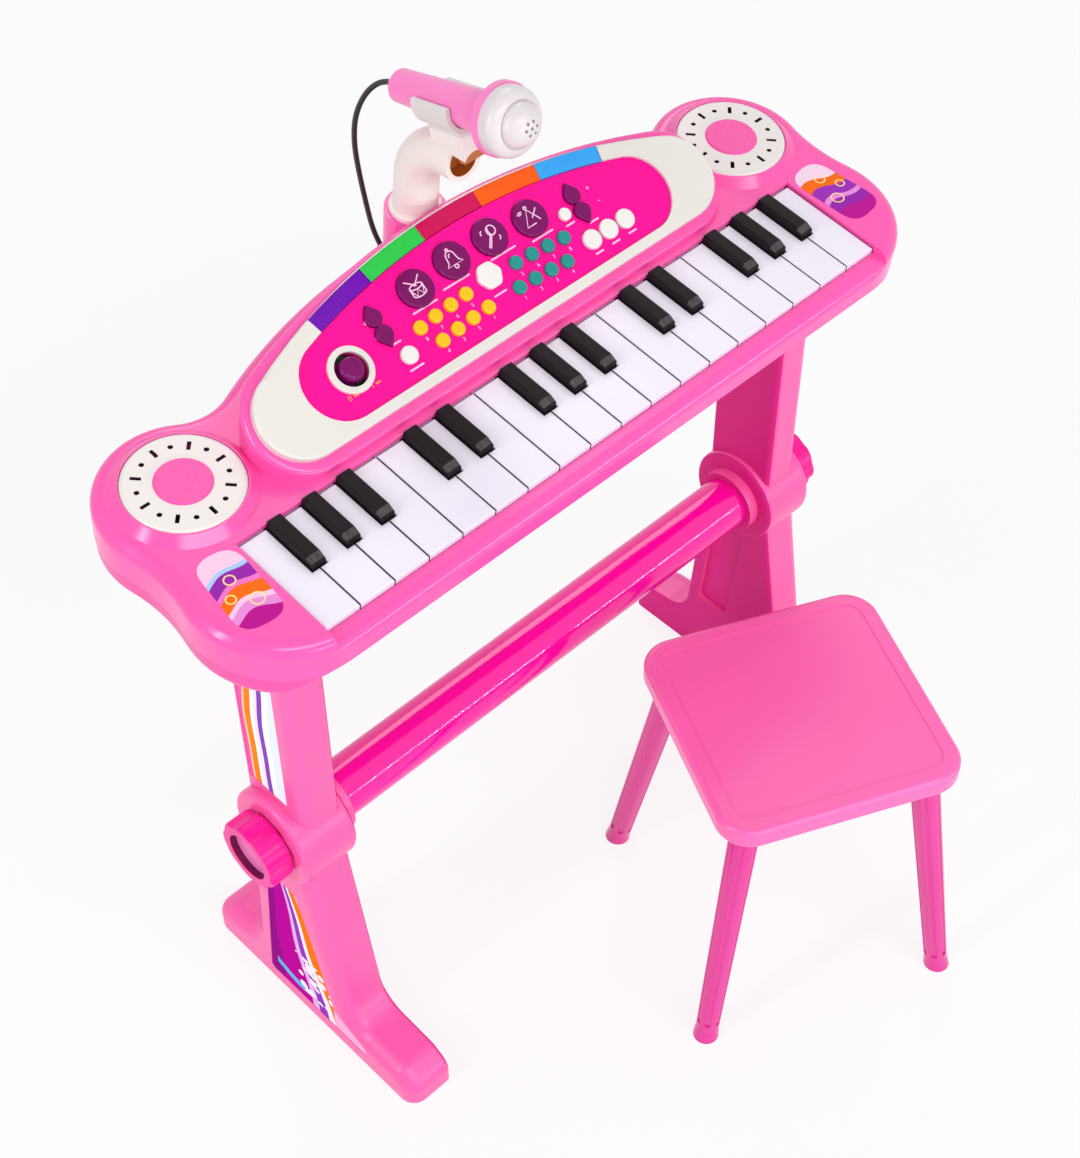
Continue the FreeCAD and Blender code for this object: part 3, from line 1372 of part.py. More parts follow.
def stool():
    place = Placement(Vector(z.stool_across, -z.stool_ahead, 0), Rotation(axis_z, z.stool_turn))
    half = z.seat_side / 2
    corner_signs = ((-1, -1), (1, -1), (1, 1), (-1, 1))

    def square(inset, corner):
        side = half - inset
        points = [Vector(x * side, y * side, 0) for x, y in corner_signs]
        return rounded_wire(points, [corner] * len(points))

    def seat_rims(edge):
        return level(0)(edge) or level(z.seat_thick)(edge)

    block = extrude("seat_block", outline("seat_plan", square(0, z.seat_corner)), "seat_thick")
    block = rounded("seat_round_edge", block, z.seat_round, seat_rims)
    dish_wire = square(z.seat_border, z.seat_corner - z.seat_border)
    dish_wire.translate(Vector(0, 0, z.seat_thick - z.seat_dish))
    dish = extrude("seat_dish_block", outline("seat_dish_plan", dish_wire), "overrun")
    lift = Placement(Vector(0, 0, z.seat_height - z.seat_thick), Rotation())
    hand_in("stool_seat", cut("seat_dished", block, dish), place.multiply(lift))

    legs = []
    rise = z.seat_height - z.seat_thick
    room = box("leg_room", "2 * seat_side", "2 * seat_side", "seat_height - seat_thick",
               ("-seat_side", "-seat_side", "0"))
    for number, (x, y) in enumerate(corner_signs):
        foot = Vector(x * z.stool_leg_foot, y * z.stool_leg_foot, 0)
        top = Vector(x * z.stool_leg_top, y * z.stool_leg_top, rise)
        along = top - foot
        length = along.Length
        turn = Rotation(axis_z, along)
        along.normalize()
        shaft = doc.addObject("Part::Cone", f"stool_leg_{number}_shaft")
        bind(shaft, Radius1="stool_leg_tip_radius", Radius2="stool_leg_radius")
        shaft.Height = length + 2 * z.overrun
        shaft.Placement = Placement(foot - along * z.overrun, turn)
        shoe = doc.addObject("Part::Cone", f"stool_leg_{number}_shoe")
        bind(shoe, Radius1="stool_shoe_radius", Radius2="stool_leg_tip_radius",
             Height="stool_shoe_height + overrun")
        shoe.Placement = Placement(foot - along * z.overrun, turn)
        flutes = []
        for flute in range(flute_count):
            out = turn.multVec(Rotation(axis_z, 360 * flute / flute_count).multVec(axis_x))
            start = foot + along * z.flute_start + out * (z.stool_leg_tip_radius + z.flute_beyond)
            end = top + along * z.overrun + out * (z.stool_leg_radius + z.flute_beyond)
            groove = doc.addObject("Part::Cylinder", f"stool_leg_{number}_flute_{flute}")
            bind(groove, Radius="flute_radius")
            groove.Height = (end - start).Length
            groove.Placement = Placement(start, Rotation(axis_z, end - start))
            flutes.append(groove)
        fluted = cut(f"stool_leg_{number}_fluted", shaft, *flutes)
        legs.append(common(f"stool_leg_{number}", fuse(f"stool_leg_{number}_joined", fluted, shoe), room))
    hand_in("stool_legs", group("stool_leg_set", *legs), place)


top_case()
bottom_case()
inner_works()
bezel_and_panel()
buttons()
speaker_grilles()
mic()
mic_holder()
mic_cord()
stand()
for side, side_name in side_names.items():
    knob(f"{side_name}_knob", side)
stool()

# The row's origin is under the middle of the set, so every piece moves back by the same amount
doc.recompute()
free_of_cord = [item.Shape.BoundBox for label, item in parts.items() if label != "mic_cord"]
middle = (min(reach.YMin for reach in free_of_cord) + max(reach.YMax for reach in free_of_cord)) / 2
shift = Placement(Vector(0, -middle, 0), Rotation())
for item in parts.values():
    item.Placement = shift.multiply(item.Placement)
doc.recompute()
print(f"set moved by {-middle:.3f} along Y")

for item in doc.Objects:
    if "Invalid" in item.State or "Error" in item.State:
        raise RuntimeError(f"{item.Label} did not build: {item.State}")
for label, item in parts.items():
    if item.Shape.isNull() or not item.Shape.isValid():
        raise RuntimeError(f"{label} has no valid shape")

os.makedirs("parts", exist_ok=True)
for label, item in parts.items():
    item.Shape.exportStep(f"parts/{label}.step")
    print(f"{label}: {len(item.Shape.Solids)} solids, {item.Shape.Volume:.0f} cubic mm")
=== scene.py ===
import math

import bmesh
import bpy
from mathutils import Matrix, Vector
from mathutils.bvhtree import BVHTree


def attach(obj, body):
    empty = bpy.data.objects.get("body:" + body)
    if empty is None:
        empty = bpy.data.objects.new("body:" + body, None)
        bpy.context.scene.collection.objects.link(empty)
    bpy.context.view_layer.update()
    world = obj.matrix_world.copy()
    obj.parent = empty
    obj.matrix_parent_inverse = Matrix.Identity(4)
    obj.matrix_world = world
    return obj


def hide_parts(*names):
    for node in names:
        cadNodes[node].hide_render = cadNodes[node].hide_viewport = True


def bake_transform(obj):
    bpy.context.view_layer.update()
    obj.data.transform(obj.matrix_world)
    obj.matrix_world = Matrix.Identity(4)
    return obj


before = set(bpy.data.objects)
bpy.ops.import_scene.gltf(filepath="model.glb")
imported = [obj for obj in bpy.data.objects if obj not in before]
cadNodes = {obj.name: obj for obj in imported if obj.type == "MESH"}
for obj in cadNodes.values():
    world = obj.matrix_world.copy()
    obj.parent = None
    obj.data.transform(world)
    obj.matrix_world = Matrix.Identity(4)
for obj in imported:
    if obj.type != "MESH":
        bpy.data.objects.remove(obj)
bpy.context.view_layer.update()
scene = bpy.context.scene
scene.view_settings.view_transform = "Standard"
print("frame loaded:", len(cadNodes), "CAD nodes")

# Where the tilted deck, the sloping console and the microphone stand, in metres and degrees
layout = {
    "shift": 0.011824,  # along Y, from the design's own zero to the frame's
    "deckHeight": 0.467,
    "deckTilt": 6.29,
    "consoleFront": 0.088,
    "consoleRise": 0.0143,
    "consoleTilt": 28.3,
    "micBack": 0.1948,
    "micRise": 0.1452,
    "micTilt": 14.0,
}


def leaning(place, degrees):
    return Matrix.Translation(place) @ Matrix.Rotation(math.radians(degrees), 4, "X")


deckPlace = leaning((0, layout["shift"], layout["deckHeight"]), layout["deckTilt"])
consolePlace = deckPlace @ leaning(
    (0, layout["consoleFront"], layout["consoleRise"]),
    layout["consoleTilt"],
)
micPlace = leaning(
    (0, layout["micBack"] + layout["shift"], layout["deckHeight"] + layout["micRise"]),
    90 - layout["micTilt"],
)
sides = ((-1, "left"), (1, "right"))

cameraSettings = {
    "place": (-0.6881, -0.6272, 1.3762),
    "look": (0.46353, 0.47813, -0.74601),
    "up": (0.52009, 0.53483, 0.66593),
    "focalLength": 2164.43,  # in pixels of the photograph
    "frameHeight": 1158,
    "sensorHeight": 24.0,
}


def setUpCamera():
    data = bpy.data.cameras.new("photoCamera")
    data.sensor_fit = "VERTICAL"
    data.sensor_height = cameraSettings["sensorHeight"]
    data.lens = cameraSettings["focalLength"] / cameraSettings["frameHeight"] * data.sensor_height
    camera = bpy.data.objects.new("photoCamera", data)
    back = -Vector(cameraSettings["look"]).normalized()
    right = Vector(cameraSettings["up"]).cross(back).normalized()
    turn = Matrix((right, back.cross(right), back)).transposed().to_4x4()
    camera.matrix_world = Matrix.Translation(cameraSettings["place"]) @ turn
    scene.collection.objects.link(camera)
    scene.camera = camera


setUpCamera()
print("camera set at the photograph's angle")


# A node's value that can be used in plain arithmetic
class Signal:
    def __init__(self, graph, socket):
        self.graph = graph
        self.socket = socket

    def maths(self, operation, *others):
        values = dict(enumerate((self,) + others))
        return self.graph.make("ShaderNodeMath", {"operation": operation}, values)

    def __add__(self, other):
        return self.maths("ADD", other)

    __radd__ = __add__

    def __sub__(self, other):
        return self.maths("SUBTRACT", other)

    def __rsub__(self, other):
        return self.graph.make("ShaderNodeMath", {"operation": "SUBTRACT"}, {0: other, 1: self})

    def __mul__(self, other):
        return self.maths("MULTIPLY", other)

    __rmul__ = __mul__

    def __truediv__(self, other):
        return self.maths("DIVIDE", other)

    def __pow__(self, other):
        return self.maths("POWER", other)

    def __gt__(self, other):
        return self.maths("GREATER_THAN", other)

    def __lt__(self, other):
        return self.maths("LESS_THAN", other)

    def __abs__(self):
        return self.maths("ABSOLUTE")

    def sine(self):
        return self.maths("SINE")

    def most(self, other):
        return self.maths("MAXIMUM", other)


# A node tree of any kind, filled by one method
class Graph:
    def __init__(self, tree):
        self.tree = tree
        self.tree.nodes.clear()

    def make(self, kind, settings=None, sockets=None, output=0):
        node = self.tree.nodes.new(kind)
        for key, value in (settings or {}).items():
            if key == "stops":
                ramp = node.color_ramp
                ramp.interpolation = "CONSTANT"
                while len(ramp.elements) < len(value):
                    ramp.elements.new(1.0)
                for element, (position, colour) in zip(ramp.elements, value):
                    element.position = position
                    element.color = colour
            else:
                setattr(node, key, value)
        for key, value in (sockets or {}).items():
            if isinstance(value, Signal):
                self.tree.links.new(value.socket, node.inputs[key])
            else:
                node.inputs[key].default_value = value
        return Signal(self, node.outputs[output]) if node.outputs else None


# One material and its node tree
class Finish(Graph):
    def __init__(self, name):
        self.material = bpy.data.materials.new(name)
        self.material.use_nodes = True
        super().__init__(self.material.node_tree)

    def place(self, matrix=None):
        # Object coordinates, or those of the frame that a matrix places
        spot = self.make("ShaderNodeTexCoord", None, None, "Object")
        if matrix is None:
            return spot
        return self.make(
            "ShaderNodeMapping",
            {"vector_type": "TEXTURE"},
            {"Vector": spot, "Location": matrix.translation, "Rotation": matrix.to_euler()},
        )

    def facing(self):
        return self.split(self.make("ShaderNodeTexCoord", None, None, "Normal"))

    def split(self, vector):
        node = self.make("ShaderNodeSeparateXYZ", None, {"Vector": vector}).socket.node
        return [Signal(self, socket) for socket in node.outputs]

    def noise(self, where, scale, detail=2.0):
        return self.make("ShaderNodeTexNoise", None, {"Vector": where, "Scale": scale, "Detail": detail})

    def stretched(self, where, scale):
        return self.make("ShaderNodeVectorMath", {"operation": "MULTIPLY"}, {0: where, 1: scale})

    def mix(self, factor, first, second):
        # Inputs 6 and 7 and output 2 are this node's colours
        return self.make("ShaderNodeMix", {"data_type": "RGBA"}, {0: factor, 6: first, 7: second}, 2)

    def bands(self, level, stops):
        return self.make("ShaderNodeValToRGB", {"stops": stops}, {"Fac": level})

    def bump(self, height, strength, distance):
        sockets = {"Strength": strength, "Distance": distance, "Height": height}
        return self.make("ShaderNodeBump", None, sockets)

    def close(self, sockets):
        shader = self.make("ShaderNodeBsdfPrincipled", None, sockets)
        self.make("ShaderNodeOutputMaterial", None, {"Surface": shader})
        return self.material


def tint(code):
    # The sRGB curve, from a hexadecimal code to linear light
    channels = [int(code[start:start + 2], 16) / 255 for start in (0, 2, 4)]
    linear = [c / 12.92 if c <= 0.04045 else ((c + 0.055) / 1.055) ** 2.4 for c in channels]
    return (*linear, 1.0)


# Moulded plastics: two near shades that drift into each other, and a fine skin
plasticLooks = {
    "pinkPlastic": {"colour": "FB59B1", "deeper": "F54EA8", "rough": 0.20},
    # The lower shell and the battery door take a deeper copy of the pink: painted shade on the lower walls
    "lowerPinkShade": {"colour": "EE48A6", "deeper": "E63E9C", "rough": 0.26},
    "seatPink": {"colour": "FC6CB8", "deeper": "F962B0", "rough": 0.26},
    "legPink": {"colour": "E2369C", "deeper": "D62890", "rough": 0.12},
    "barMagenta": {"colour": "FA08A4", "deeper": "F4029C", "rough": 0.10},
    "panelMagenta": {"colour": "FC0098", "deeper": "F80092", "rough": 0.34, "shine": 0.2},
    "ivoryBezel": {"colour": "E3DFDA", "deeper": "DBD6CF", "rough": 0.24},
    "whiteButton": {"colour": "EAE8E6", "deeper": "E3E0DD", "rough": 0.26},
    "yellowButton": {"colour": "FBC80A", "deeper": "F4B604", "rough": 0.22, "shine": 0.35},
    "tealButton": {"colour": "12988F", "deeper": "0B857E", "rough": 0.20, "shine": 0.35},
    "micPink": {"colour": "FA86C8", "deeper": "F57AC0", "rough": 0.24},
    "micWhite": {"colour": "DFD8DA", "deeper": "D6CED1", "rough": 0.30},
    "darkPlastic": {"colour": "2C2A2E", "deeper": "1E1C20", "rough": 0.55},
    "boardGreen": {"colour": "1E7A46", "deeper": "17663A", "rough": 0.45},
    "greyRubber": {"colour": "8A8A8C", "deeper": "7A7A7C", "rough": 0.70},
}
skin = {
    "driftScale": 9.0, "roughDrift": 0.4, "shine": 0.5,
    "grainScale": 900.0, "grainDetail": 3.0, "bump": 0.06, "bumpDepth": 0.0001,
}


def surfaceSkin(finish, where):
    drift = finish.noise(where, skin["driftScale"])
    grain = finish.noise(where, skin["grainScale"], skin["grainDetail"])
    return drift, finish.bump(grain, skin["bump"], skin["bumpDepth"])


def drifting(rough, drift):
    return rough * (1.0 + (drift - 0.5) * skin["roughDrift"])


def shaded(finish, level, look):
    return finish.mix(level, tint(look["colour"]), tint(look["deeper"]))


def mouldedPlastic(name):
    look = plasticLooks[name]
    finish = Finish(name)
    drift, normal = surfaceSkin(finish, finish.place())
    return finish.close({
        "Base Color": shaded(finish, drift, look),
        "Roughness": drifting(look["rough"], drift),
        "Specular IOR Level": look.get("shine", skin["shine"]),
        "Normal": normal,
    })


finishes = {name: mouldedPlastic(name) for name in plasticLooks}
print("plastics mixed:", len(finishes))


# From curves and modifiers to meshes, and from meshes to finished pieces
def bakedMesh(holder):
    # The shape that an object has after its curve or modifier; the object itself goes
    scene.collection.objects.link(holder)
    bpy.context.view_layer.update()
    shaped = holder.evaluated_get(bpy.context.evaluated_depsgraph_get())
    mesh = bpy.data.meshes.new_from_object(shaped)
    bpy.data.objects.remove(holder)
    return mesh


def curveMesh(data):
    mesh = bakedMesh(bpy.data.objects.new(data.name, data))
    bpy.data.curves.remove(data)
    return mesh


def smoothFaces(mesh):
    mesh.polygons.foreach_set("use_smooth", [True] * len(mesh.polygons))


def addPiece(name, mesh, finish):
    piece = bpy.data.objects.new(name, mesh)
    scene.collection.objects.link(piece)
    mesh.materials.clear()
    mesh.materials.append(finish)
    return piece


# The microphone's cord: a smooth line through the route, which the tail and the gland hold
cordSettings = {
    "diameter": 0.0036,
    "length": 0.1785,
    "roundness": 4,
    "stepsPerPoint": 8,
    "route": [
        (0.0, 0.1948, 0.1452),
        (0.0, 0.2045, 0.14278),
        (-0.0065, 0.2135, 0.1335),
        (-0.0105, 0.221, 0.115),
        (-0.0095, 0.226, 0.092),
        (-0.005, 0.2295, 0.066),
        (0.0005, 0.2315, 0.036),
        (0.005, 0.2325, 0.012),
        (0.008, 0.2298, -0.002),
        (0.008, 0.2238, -0.00741),
        (0.008, 0.21621, -0.00834),
    ],
    "splineOrder": 3,
    "colour": "141316",
    "deeper": "242328",
    "driftScale": 160.0,
    "rough": 0.35, "roughDrift": 0.15,
    "grainScale": 1400.0, "bump": 0.15, "bumpDepth": 0.0001,
}


def cordLine(bevel):
    data = bpy.data.curves.new("cordLine", "CURVE")
    data.dimensions = "3D"
    data.resolution_u = cordSettings["stepsPerPoint"]
    data.bevel_depth = bevel
    data.bevel_resolution = cordSettings["roundness"]
    data.use_fill_caps = True
    spline = data.splines.new("NURBS")
    spline.points.add(len(cordSettings["route"]) - 1)
    for point, (x, y, height) in zip(spline.points, cordSettings["route"]):
        point.co = (x, y + layout["shift"], height + layout["deckHeight"], 1.0)
    spline.order_u = cordSettings["splineOrder"]
    spline.use_endpoint_u = True
    return curveMesh(data)


def cordFinish():
    look = cordSettings
    finish = Finish("cordRubber")
    where = finish.place()
    drift = finish.noise(where, look["driftScale"])
    grain = finish.noise(where, look["grainScale"])
    return finish.close({
        "Base Color": shaded(finish, drift, look),
        "Roughness": look["rough"] + drift * look["roughDrift"],
        "Normal": finish.bump(grain, look["bump"], look["bumpDepth"]),
    })


def makeCord():
    path = [vertex.co.copy() for vertex in cordLine(0.0).vertices]
    mesh = cordLine(cordSettings["diameter"] / 2)
    smoothFaces(mesh)
    cord = addPiece("microphone_cord", mesh, cordFinish())
    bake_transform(cord)
    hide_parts("mic_cord")
    print("cord laid:", len(path), "points")


makeCord()


# Finishes that change over one CAD solid
windowLook = {
    "arcCentre": -0.37247,
    "span": 6.05,
    "colours": ["7600B6", "30CC50", "CE0056", "FA6208", "3CA8F2"],
    "deeper": ["60009C", "22BA42", "BA004C", "F25200", "2A96E8"],
    "cloudScale": 60.0, "cloudDetail": 4.0, "ribs": 900.0,
    "rough": 0.24, "roughDrift": 0.1, "shine": 0.25, "bump": 0.12, "bumpDepth": 0.0002,
}


def windowFinish():
    look = windowLook
    finish = Finish("windowPlastic")
    where = finish.place(consolePlace)
    x, along = finish.split(where)[:2]
    angle = x.maths("ARCTAN2", along - look["arcCentre"])
    count = len(look["colours"])
    sweep = math.radians(look["span"] * count)
    level = angle / sweep + 0.5
    shades = []
    for codes in (look["colours"], look["deeper"]):
        stops = [(index / count, tint(code)) for index, code in enumerate(codes)]
        shades.append(finish.bands(level, stops))
    cloud = finish.noise(where, look["cloudScale"], look["cloudDetail"])
    ribs = (angle * look["ribs"]).sine()
    return finish.close({
        "Base Color": finish.mix(cloud, *shades),
        "Roughness": look["rough"] + cloud * look["roughDrift"],
        "Specular IOR Level": look["shine"],
        "Normal": finish.bump(ribs + cloud, look["bump"], look["bumpDepth"]),
    })


grilleLook = {
    "across": 0.2316, "back": 0.1267, "capRadius": 0.0176,
    "ringRadius": 0.0345, "slotFloor": 0.0085,
    "ring": {"colour": "E9E4E0", "deeper": "E1DBD8"},
    "cap": {"colour": "F95CB0", "deeper": "EE4EA4"},
    "slot": "2A2026",
    "fleckScale": 1500.0, "ringFleck": 0.15, "bump": 0.25, "bumpDepth": 0.0002,
    "rough": 0.28, "capRough": 0.2,
}


def grilleFinish():
    look = grilleLook
    finish = Finish("grillePlastic")
    where = finish.place(deckPlace)
    x, y, rise = finish.split(where)
    dx = abs(x) - look["across"]
    dy = y - look["back"]
    radius = (dx * dx + dy * dy) ** 0.5
    onCap = radius < look["capRadius"]
    # Slot floors inside the ring take a near black: painted shade in the slots
    inSlotShade = (rise < look["slotFloor"]) * (radius < look["ringRadius"])
    fleck = finish.noise(where, look["fleckScale"])
    ring = shaded(finish, finish.noise(where, skin["driftScale"]), look["ring"])
    cap = shaded(finish, fleck, look["cap"])
    return finish.close({
        "Base Color": finish.mix(inSlotShade, finish.mix(onCap, ring, cap), tint(look["slot"])),
        "Roughness": look["rough"] + onCap * look["capRough"],
        "Normal": finish.bump(fleck * (look["ringFleck"] + onCap), look["bump"], look["bumpDepth"]),
    })


whiteKeyLook = {
    "colour": "EFE9F5", "deeper": "E6DFEE", "side": "8E8694", "turned": 0.9,
    "cloudScale": 22.0, "cloudDetail": 3.0, "rough": 0.24, "roughDrift": 0.1,
    "grainScale": 700.0, "grainDetail": 3.0, "bump": 0.05, "bumpDepth": 0.0001,
}


def whiteKeyFinish():
    look = whiteKeyLook
    finish = Finish("whiteKey")
    where = finish.place()
    cloud = finish.noise(where, look["cloudScale"], look["cloudDetail"])
    # Faces that turn sideways take a mid grey: painted shade in the gaps between the keys
    onShadedSide = abs(finish.facing()[0]) > look["turned"]
    grain = finish.noise(where, look["grainScale"], look["grainDetail"])
    return finish.close({
        "Base Color": finish.mix(onShadedSide, shaded(finish, cloud, look), tint(look["side"])),
        "Roughness": look["rough"] + cloud * look["roughDrift"],
        "Normal": finish.bump(grain, look["bump"], look["bumpDepth"]),
    })


blackKeyLook = {
    "colour": "120B0F", "deeper": "1F161B",
    "nose": "6A6266", "noseBack": 0.0403, "noseFront": 0.0358, "noseRise": 0.004, "noseShare": 0.9,
    "grain": (900.0, 90.0, 400.0), "grainDetail": 3.0,
    "rough": 0.42, "roughDrift": 0.2, "shine": 0.12, "bump": 0.25, "bumpDepth": 0.0002,
}


def blackKeyFinish():
    look = blackKeyLook
    finish = Finish("blackKey")
    where = finish.place(deckPlace)
    y, rise = finish.split(where)[1:]
    grain = finish.noise(finish.stretched(where, look["grain"]), 1.0, look["grainDetail"])
    # The front facets take a lighter grey: painted reflection on the key noses
    nose = (y < look["noseBack"]) * (y > look["noseFront"]) * (rise > look["noseRise"])
    body = shaded(finish, grain, look)
    return finish.close({
        "Base Color": finish.mix(nose * (grain * look["noseShare"]), body, tint(look["nose"])),
        "Roughness": look["rough"] + grain * look["roughDrift"],
        "Specular IOR Level": look["shine"],
        "Normal": finish.bump(grain, look["bump"], look["bumpDepth"]),
    })


jewelLook = {
    "colour": "7E0062", "deeper": "5C0048", "light": "98087A", "lightShare": 0.3,
    "cloudScale": 120.0, "cloudDetail": 3.0,
    "rough": 0.12, "roughDrift": 0.08, "shine": 0.2, "bump": 0.04, "bumpDepth": 0.0002,
}


def jewelFinish():
    look = jewelLook
    finish = Finish("purpleJewel")
    where = finish.place()
    cloud = finish.noise(where, look["cloudScale"], look["cloudDetail"])
    colour = shaded(finish, cloud, look)
    return finish.close({
        "Base Color": finish.mix(cloud * look["lightShare"], colour, tint(look["light"])),
        "Roughness": look["rough"] + cloud * look["roughDrift"],
        "Specular IOR Level": look["shine"],
        "Normal": finish.bump(cloud, look["bump"], look["bumpDepth"]),
    })


holderLook = {
    "colour": "F1E8E4", "deeper": "EBDEDA",
    "insideShade": {"colour": "C8702A", "deeper": "A85418"},
    "clip": "DAD4D2", "clipReach": 0.0185,
    "cradle": 0.0128, "bore": 0.0107, "boreDepth": 0.0103,
    "mouthBack": 0.1477, "mouthHeight": 0.1058, "mouthTurn": 80.0,
    "cloudScale": 30.0, "rough": 0.3, "roughDrift": 0.1,
    "grainScale": 700.0, "bump": 0.05, "bumpDepth": 0.0001,
}


def holderFinish():
    look = holderLook
    finish = Finish("ivoryHolder")
    inMic = finish.place(micPlace)
    x, up = finish.split(inMic)[:2]
    reach = (x * x + up * up) ** 0.5
    nearAxis = reach < look["cradle"]
    mouth = deckPlace @ leaning((0, look["mouthBack"], look["mouthHeight"]), look["mouthTurn"])
    boreX, boreY, depth = finish.split(finish.place(mouth))
    inBore = ((boreX * boreX + boreY * boreY) ** 0.5 < look["bore"]) * (depth > -look["boreDepth"])
    # The cradle round the microphone and the nose's bore take orange-brown: painted warm shade inside the
    # hollow ivory plastic
    insideShade = nearAxis.most(inBore)
    cloud = finish.noise(finish.place(), look["cloudScale"])
    colour = finish.mix(reach < look["clipReach"], shaded(finish, cloud, look), tint(look["clip"]))
    grain = finish.noise(inMic, look["grainScale"])
    return finish.close({
        "Base Color": finish.mix(insideShade, colour, shaded(finish, cloud, look["insideShade"])),
        "Roughness": look["rough"] + cloud * look["roughDrift"],
        "Normal": finish.bump(grain, look["bump"], look["bumpDepth"]),
    })


knobLook = {
    "axisBack": 0.071, "axisHeight": 0.204,
    "dish": 0.0170, "rim": 0.0180, "dishFloor": 0.2655,
    "colour": "F6069A", "deeper": "EC0090", "face": "F37ABF", "line": "6E1048",
    "cloudScale": 12.0, "rough": 0.24, "roughDrift": 0.1, "shine": 0.3,
    "grainScale": 900.0, "grainDetail": 3.0, "bump": 0.05, "bumpDepth": 0.0001,
}


def knobFinish():
    look = knobLook
    finish = Finish("knobMagenta")
    where = finish.place()
    x, y, height = finish.split(where)
    y = y - (look["axisBack"] + layout["shift"])
    height = height - look["axisHeight"]
    radius = (y * y + height * height) ** 0.5
    inDish = radius < look["dish"]
    # A dark ring just outside the dish: painted shadow in the groove round it
    inGrooveShade = (radius < look["rim"]) * (radius > look["dish"]) * (abs(x) < look["dishFloor"])
    cloud = finish.noise(where, look["cloudScale"])
    face = finish.mix(inDish, shaded(finish, cloud, look), tint(look["face"]))
    grain = finish.noise(where, look["grainScale"], look["grainDetail"])
    return finish.close({
        "Base Color": finish.mix(inGrooveShade, face, tint(look["line"])),
        "Roughness": look["rough"] + cloud * look["roughDrift"],
        "Specular IOR Level": look["shine"],
        "Normal": finish.bump(grain, look["bump"], look["bumpDepth"]),
    })


standLook = {
    "colour": "FA60AE", "deeper": "F556A6", "insideShade": "D80084",
    "rough": 0.34, "insideRough": 0.35, "turned": 0.5,
}


def standFinish():
    look = standLook
    finish = Finish("standPink")
    where = finish.place()
    x = finish.split(where)[0]
    drift, normal = surfaceSkin(finish, where)
    # The way to the middle: 1 on the left side, -1 on the right
    toMiddle = (x < 0) * 2.0 - 1.0
    # Faces turned towards the middle take a deep magenta: painted shade on the inner sides of the posts and
    # feet
    shadedInward = (finish.facing()[0] * toMiddle) > look["turned"]
    return finish.close({
        "Base Color": finish.mix(shadedInward, shaded(finish, drift, look), tint(look["insideShade"])),
        "Roughness": drifting(look["rough"] + shadedInward * look["insideRough"], drift),
        "Normal": normal,
    })


steelLook = {
    "colour": "C9CACC", "deeper": "A9AAAE", "brush": (60.0, 900.0, 900.0),
    "rough": 0.22, "roughDrift": 0.2, "bump": 0.1, "bumpDepth": 0.0001,
}


def steelFinish():
    look = steelLook
    finish = Finish("brightSteel")
    brushed = finish.noise(finish.stretched(finish.place(), look["brush"]), 1.0)
    return finish.close({
        "Base Color": shaded(finish, brushed, look),
        "Roughness": look["rough"] + brushed * look["roughDrift"],
        "Metallic": 1.0,
        "Normal": finish.bump(brushed, look["bump"], look["bumpDepth"]),
    })


finishes.update({
    "windows": windowFinish(),
    "grille": grilleFinish(),
    "whiteKey": whiteKeyFinish(),
    "blackKey": blackKeyFinish(),
    "jewel": jewelFinish(),
    "holder": holderFinish(),
    "knob": knobFinish(),
    "stand": standFinish(),
    "steel": steelFinish(),
})

# Which finish each CAD solid takes; the keys go by their names, and the laid cord replaces its solid
nodeFinishes = {
    "top_case": "pinkPlastic",
    "bottom_case": "lowerPinkShade",
    "battery_door": "lowerPinkShade",
    "panel_bezel": "ivoryBezel",
    "control_panel": "panelMagenta",
    "light_windows": "windows",
    "speaker_grilles": "grille",
    "speaker_drivers": "darkPlastic",
    "circuit_board": "boardGreen",
    "contact_strip": "greyRubber",
    "key_pivot_rod": "steel",
    "case_screws": "steel",
    "mic_holder": "holder",
    "mic_body": "micPink",
    "mic_head": "micWhite",
    "stand_posts": "stand",
    "stand_feet": "stand",
    "crossbar": "barMagenta",
    "left_knob": "knob",
    "right_knob": "knob",
    "picture_pads": "jewel",
    "leaf_buttons": "jewel",
    "power_slider": "jewel",
    "yellow_buttons": "yellowButton",
    "teal_buttons": "tealButton",
    "white_buttons": "whiteButton",
    "stool_seat": "seatPink",
    "stool_legs": "legPink",
}


def dressNodes():
    for name, node in cadNodes.items():
        if name.startswith("white_key"):
            key = "whiteKey"
        elif name.startswith("black_key"):
            key = "blackKey"
        else:
            key = nodeFinishes.get(name)
        if key is None:
            continue
        node.data.materials.clear()
        node.data.materials.append(finishes[key])


dressNodes()
print("CAD solids dressed")


# Printed labels: closed sheets on a face, cut to a rim with round corners
def roundedRim(corners, reach, steps=6):
    rim = []
    for index, corner in enumerate(corners):
        corner = Vector(corner)
        before = Vector(corners[index - 1]) - corner
        after = Vector(corners[(index + 1) % len(corners)]) - corner
        start = corner + before.normalized() * reach
        end = corner + after.normalized() * reach
        for step in range(steps + 1):
            share = step / steps
            rim.append(start.lerp(corner, share).lerp(corner.lerp(end, share), share))
    # Twice the signed area, above zero for a rim that runs anticlockwise
    edges = zip(rim, rim[1:] + rim[:1])
    turning = sum(first.x * second.y - first.y * second.x for first, second in edges)
    return rim if turning > 0 else rim[::-1]


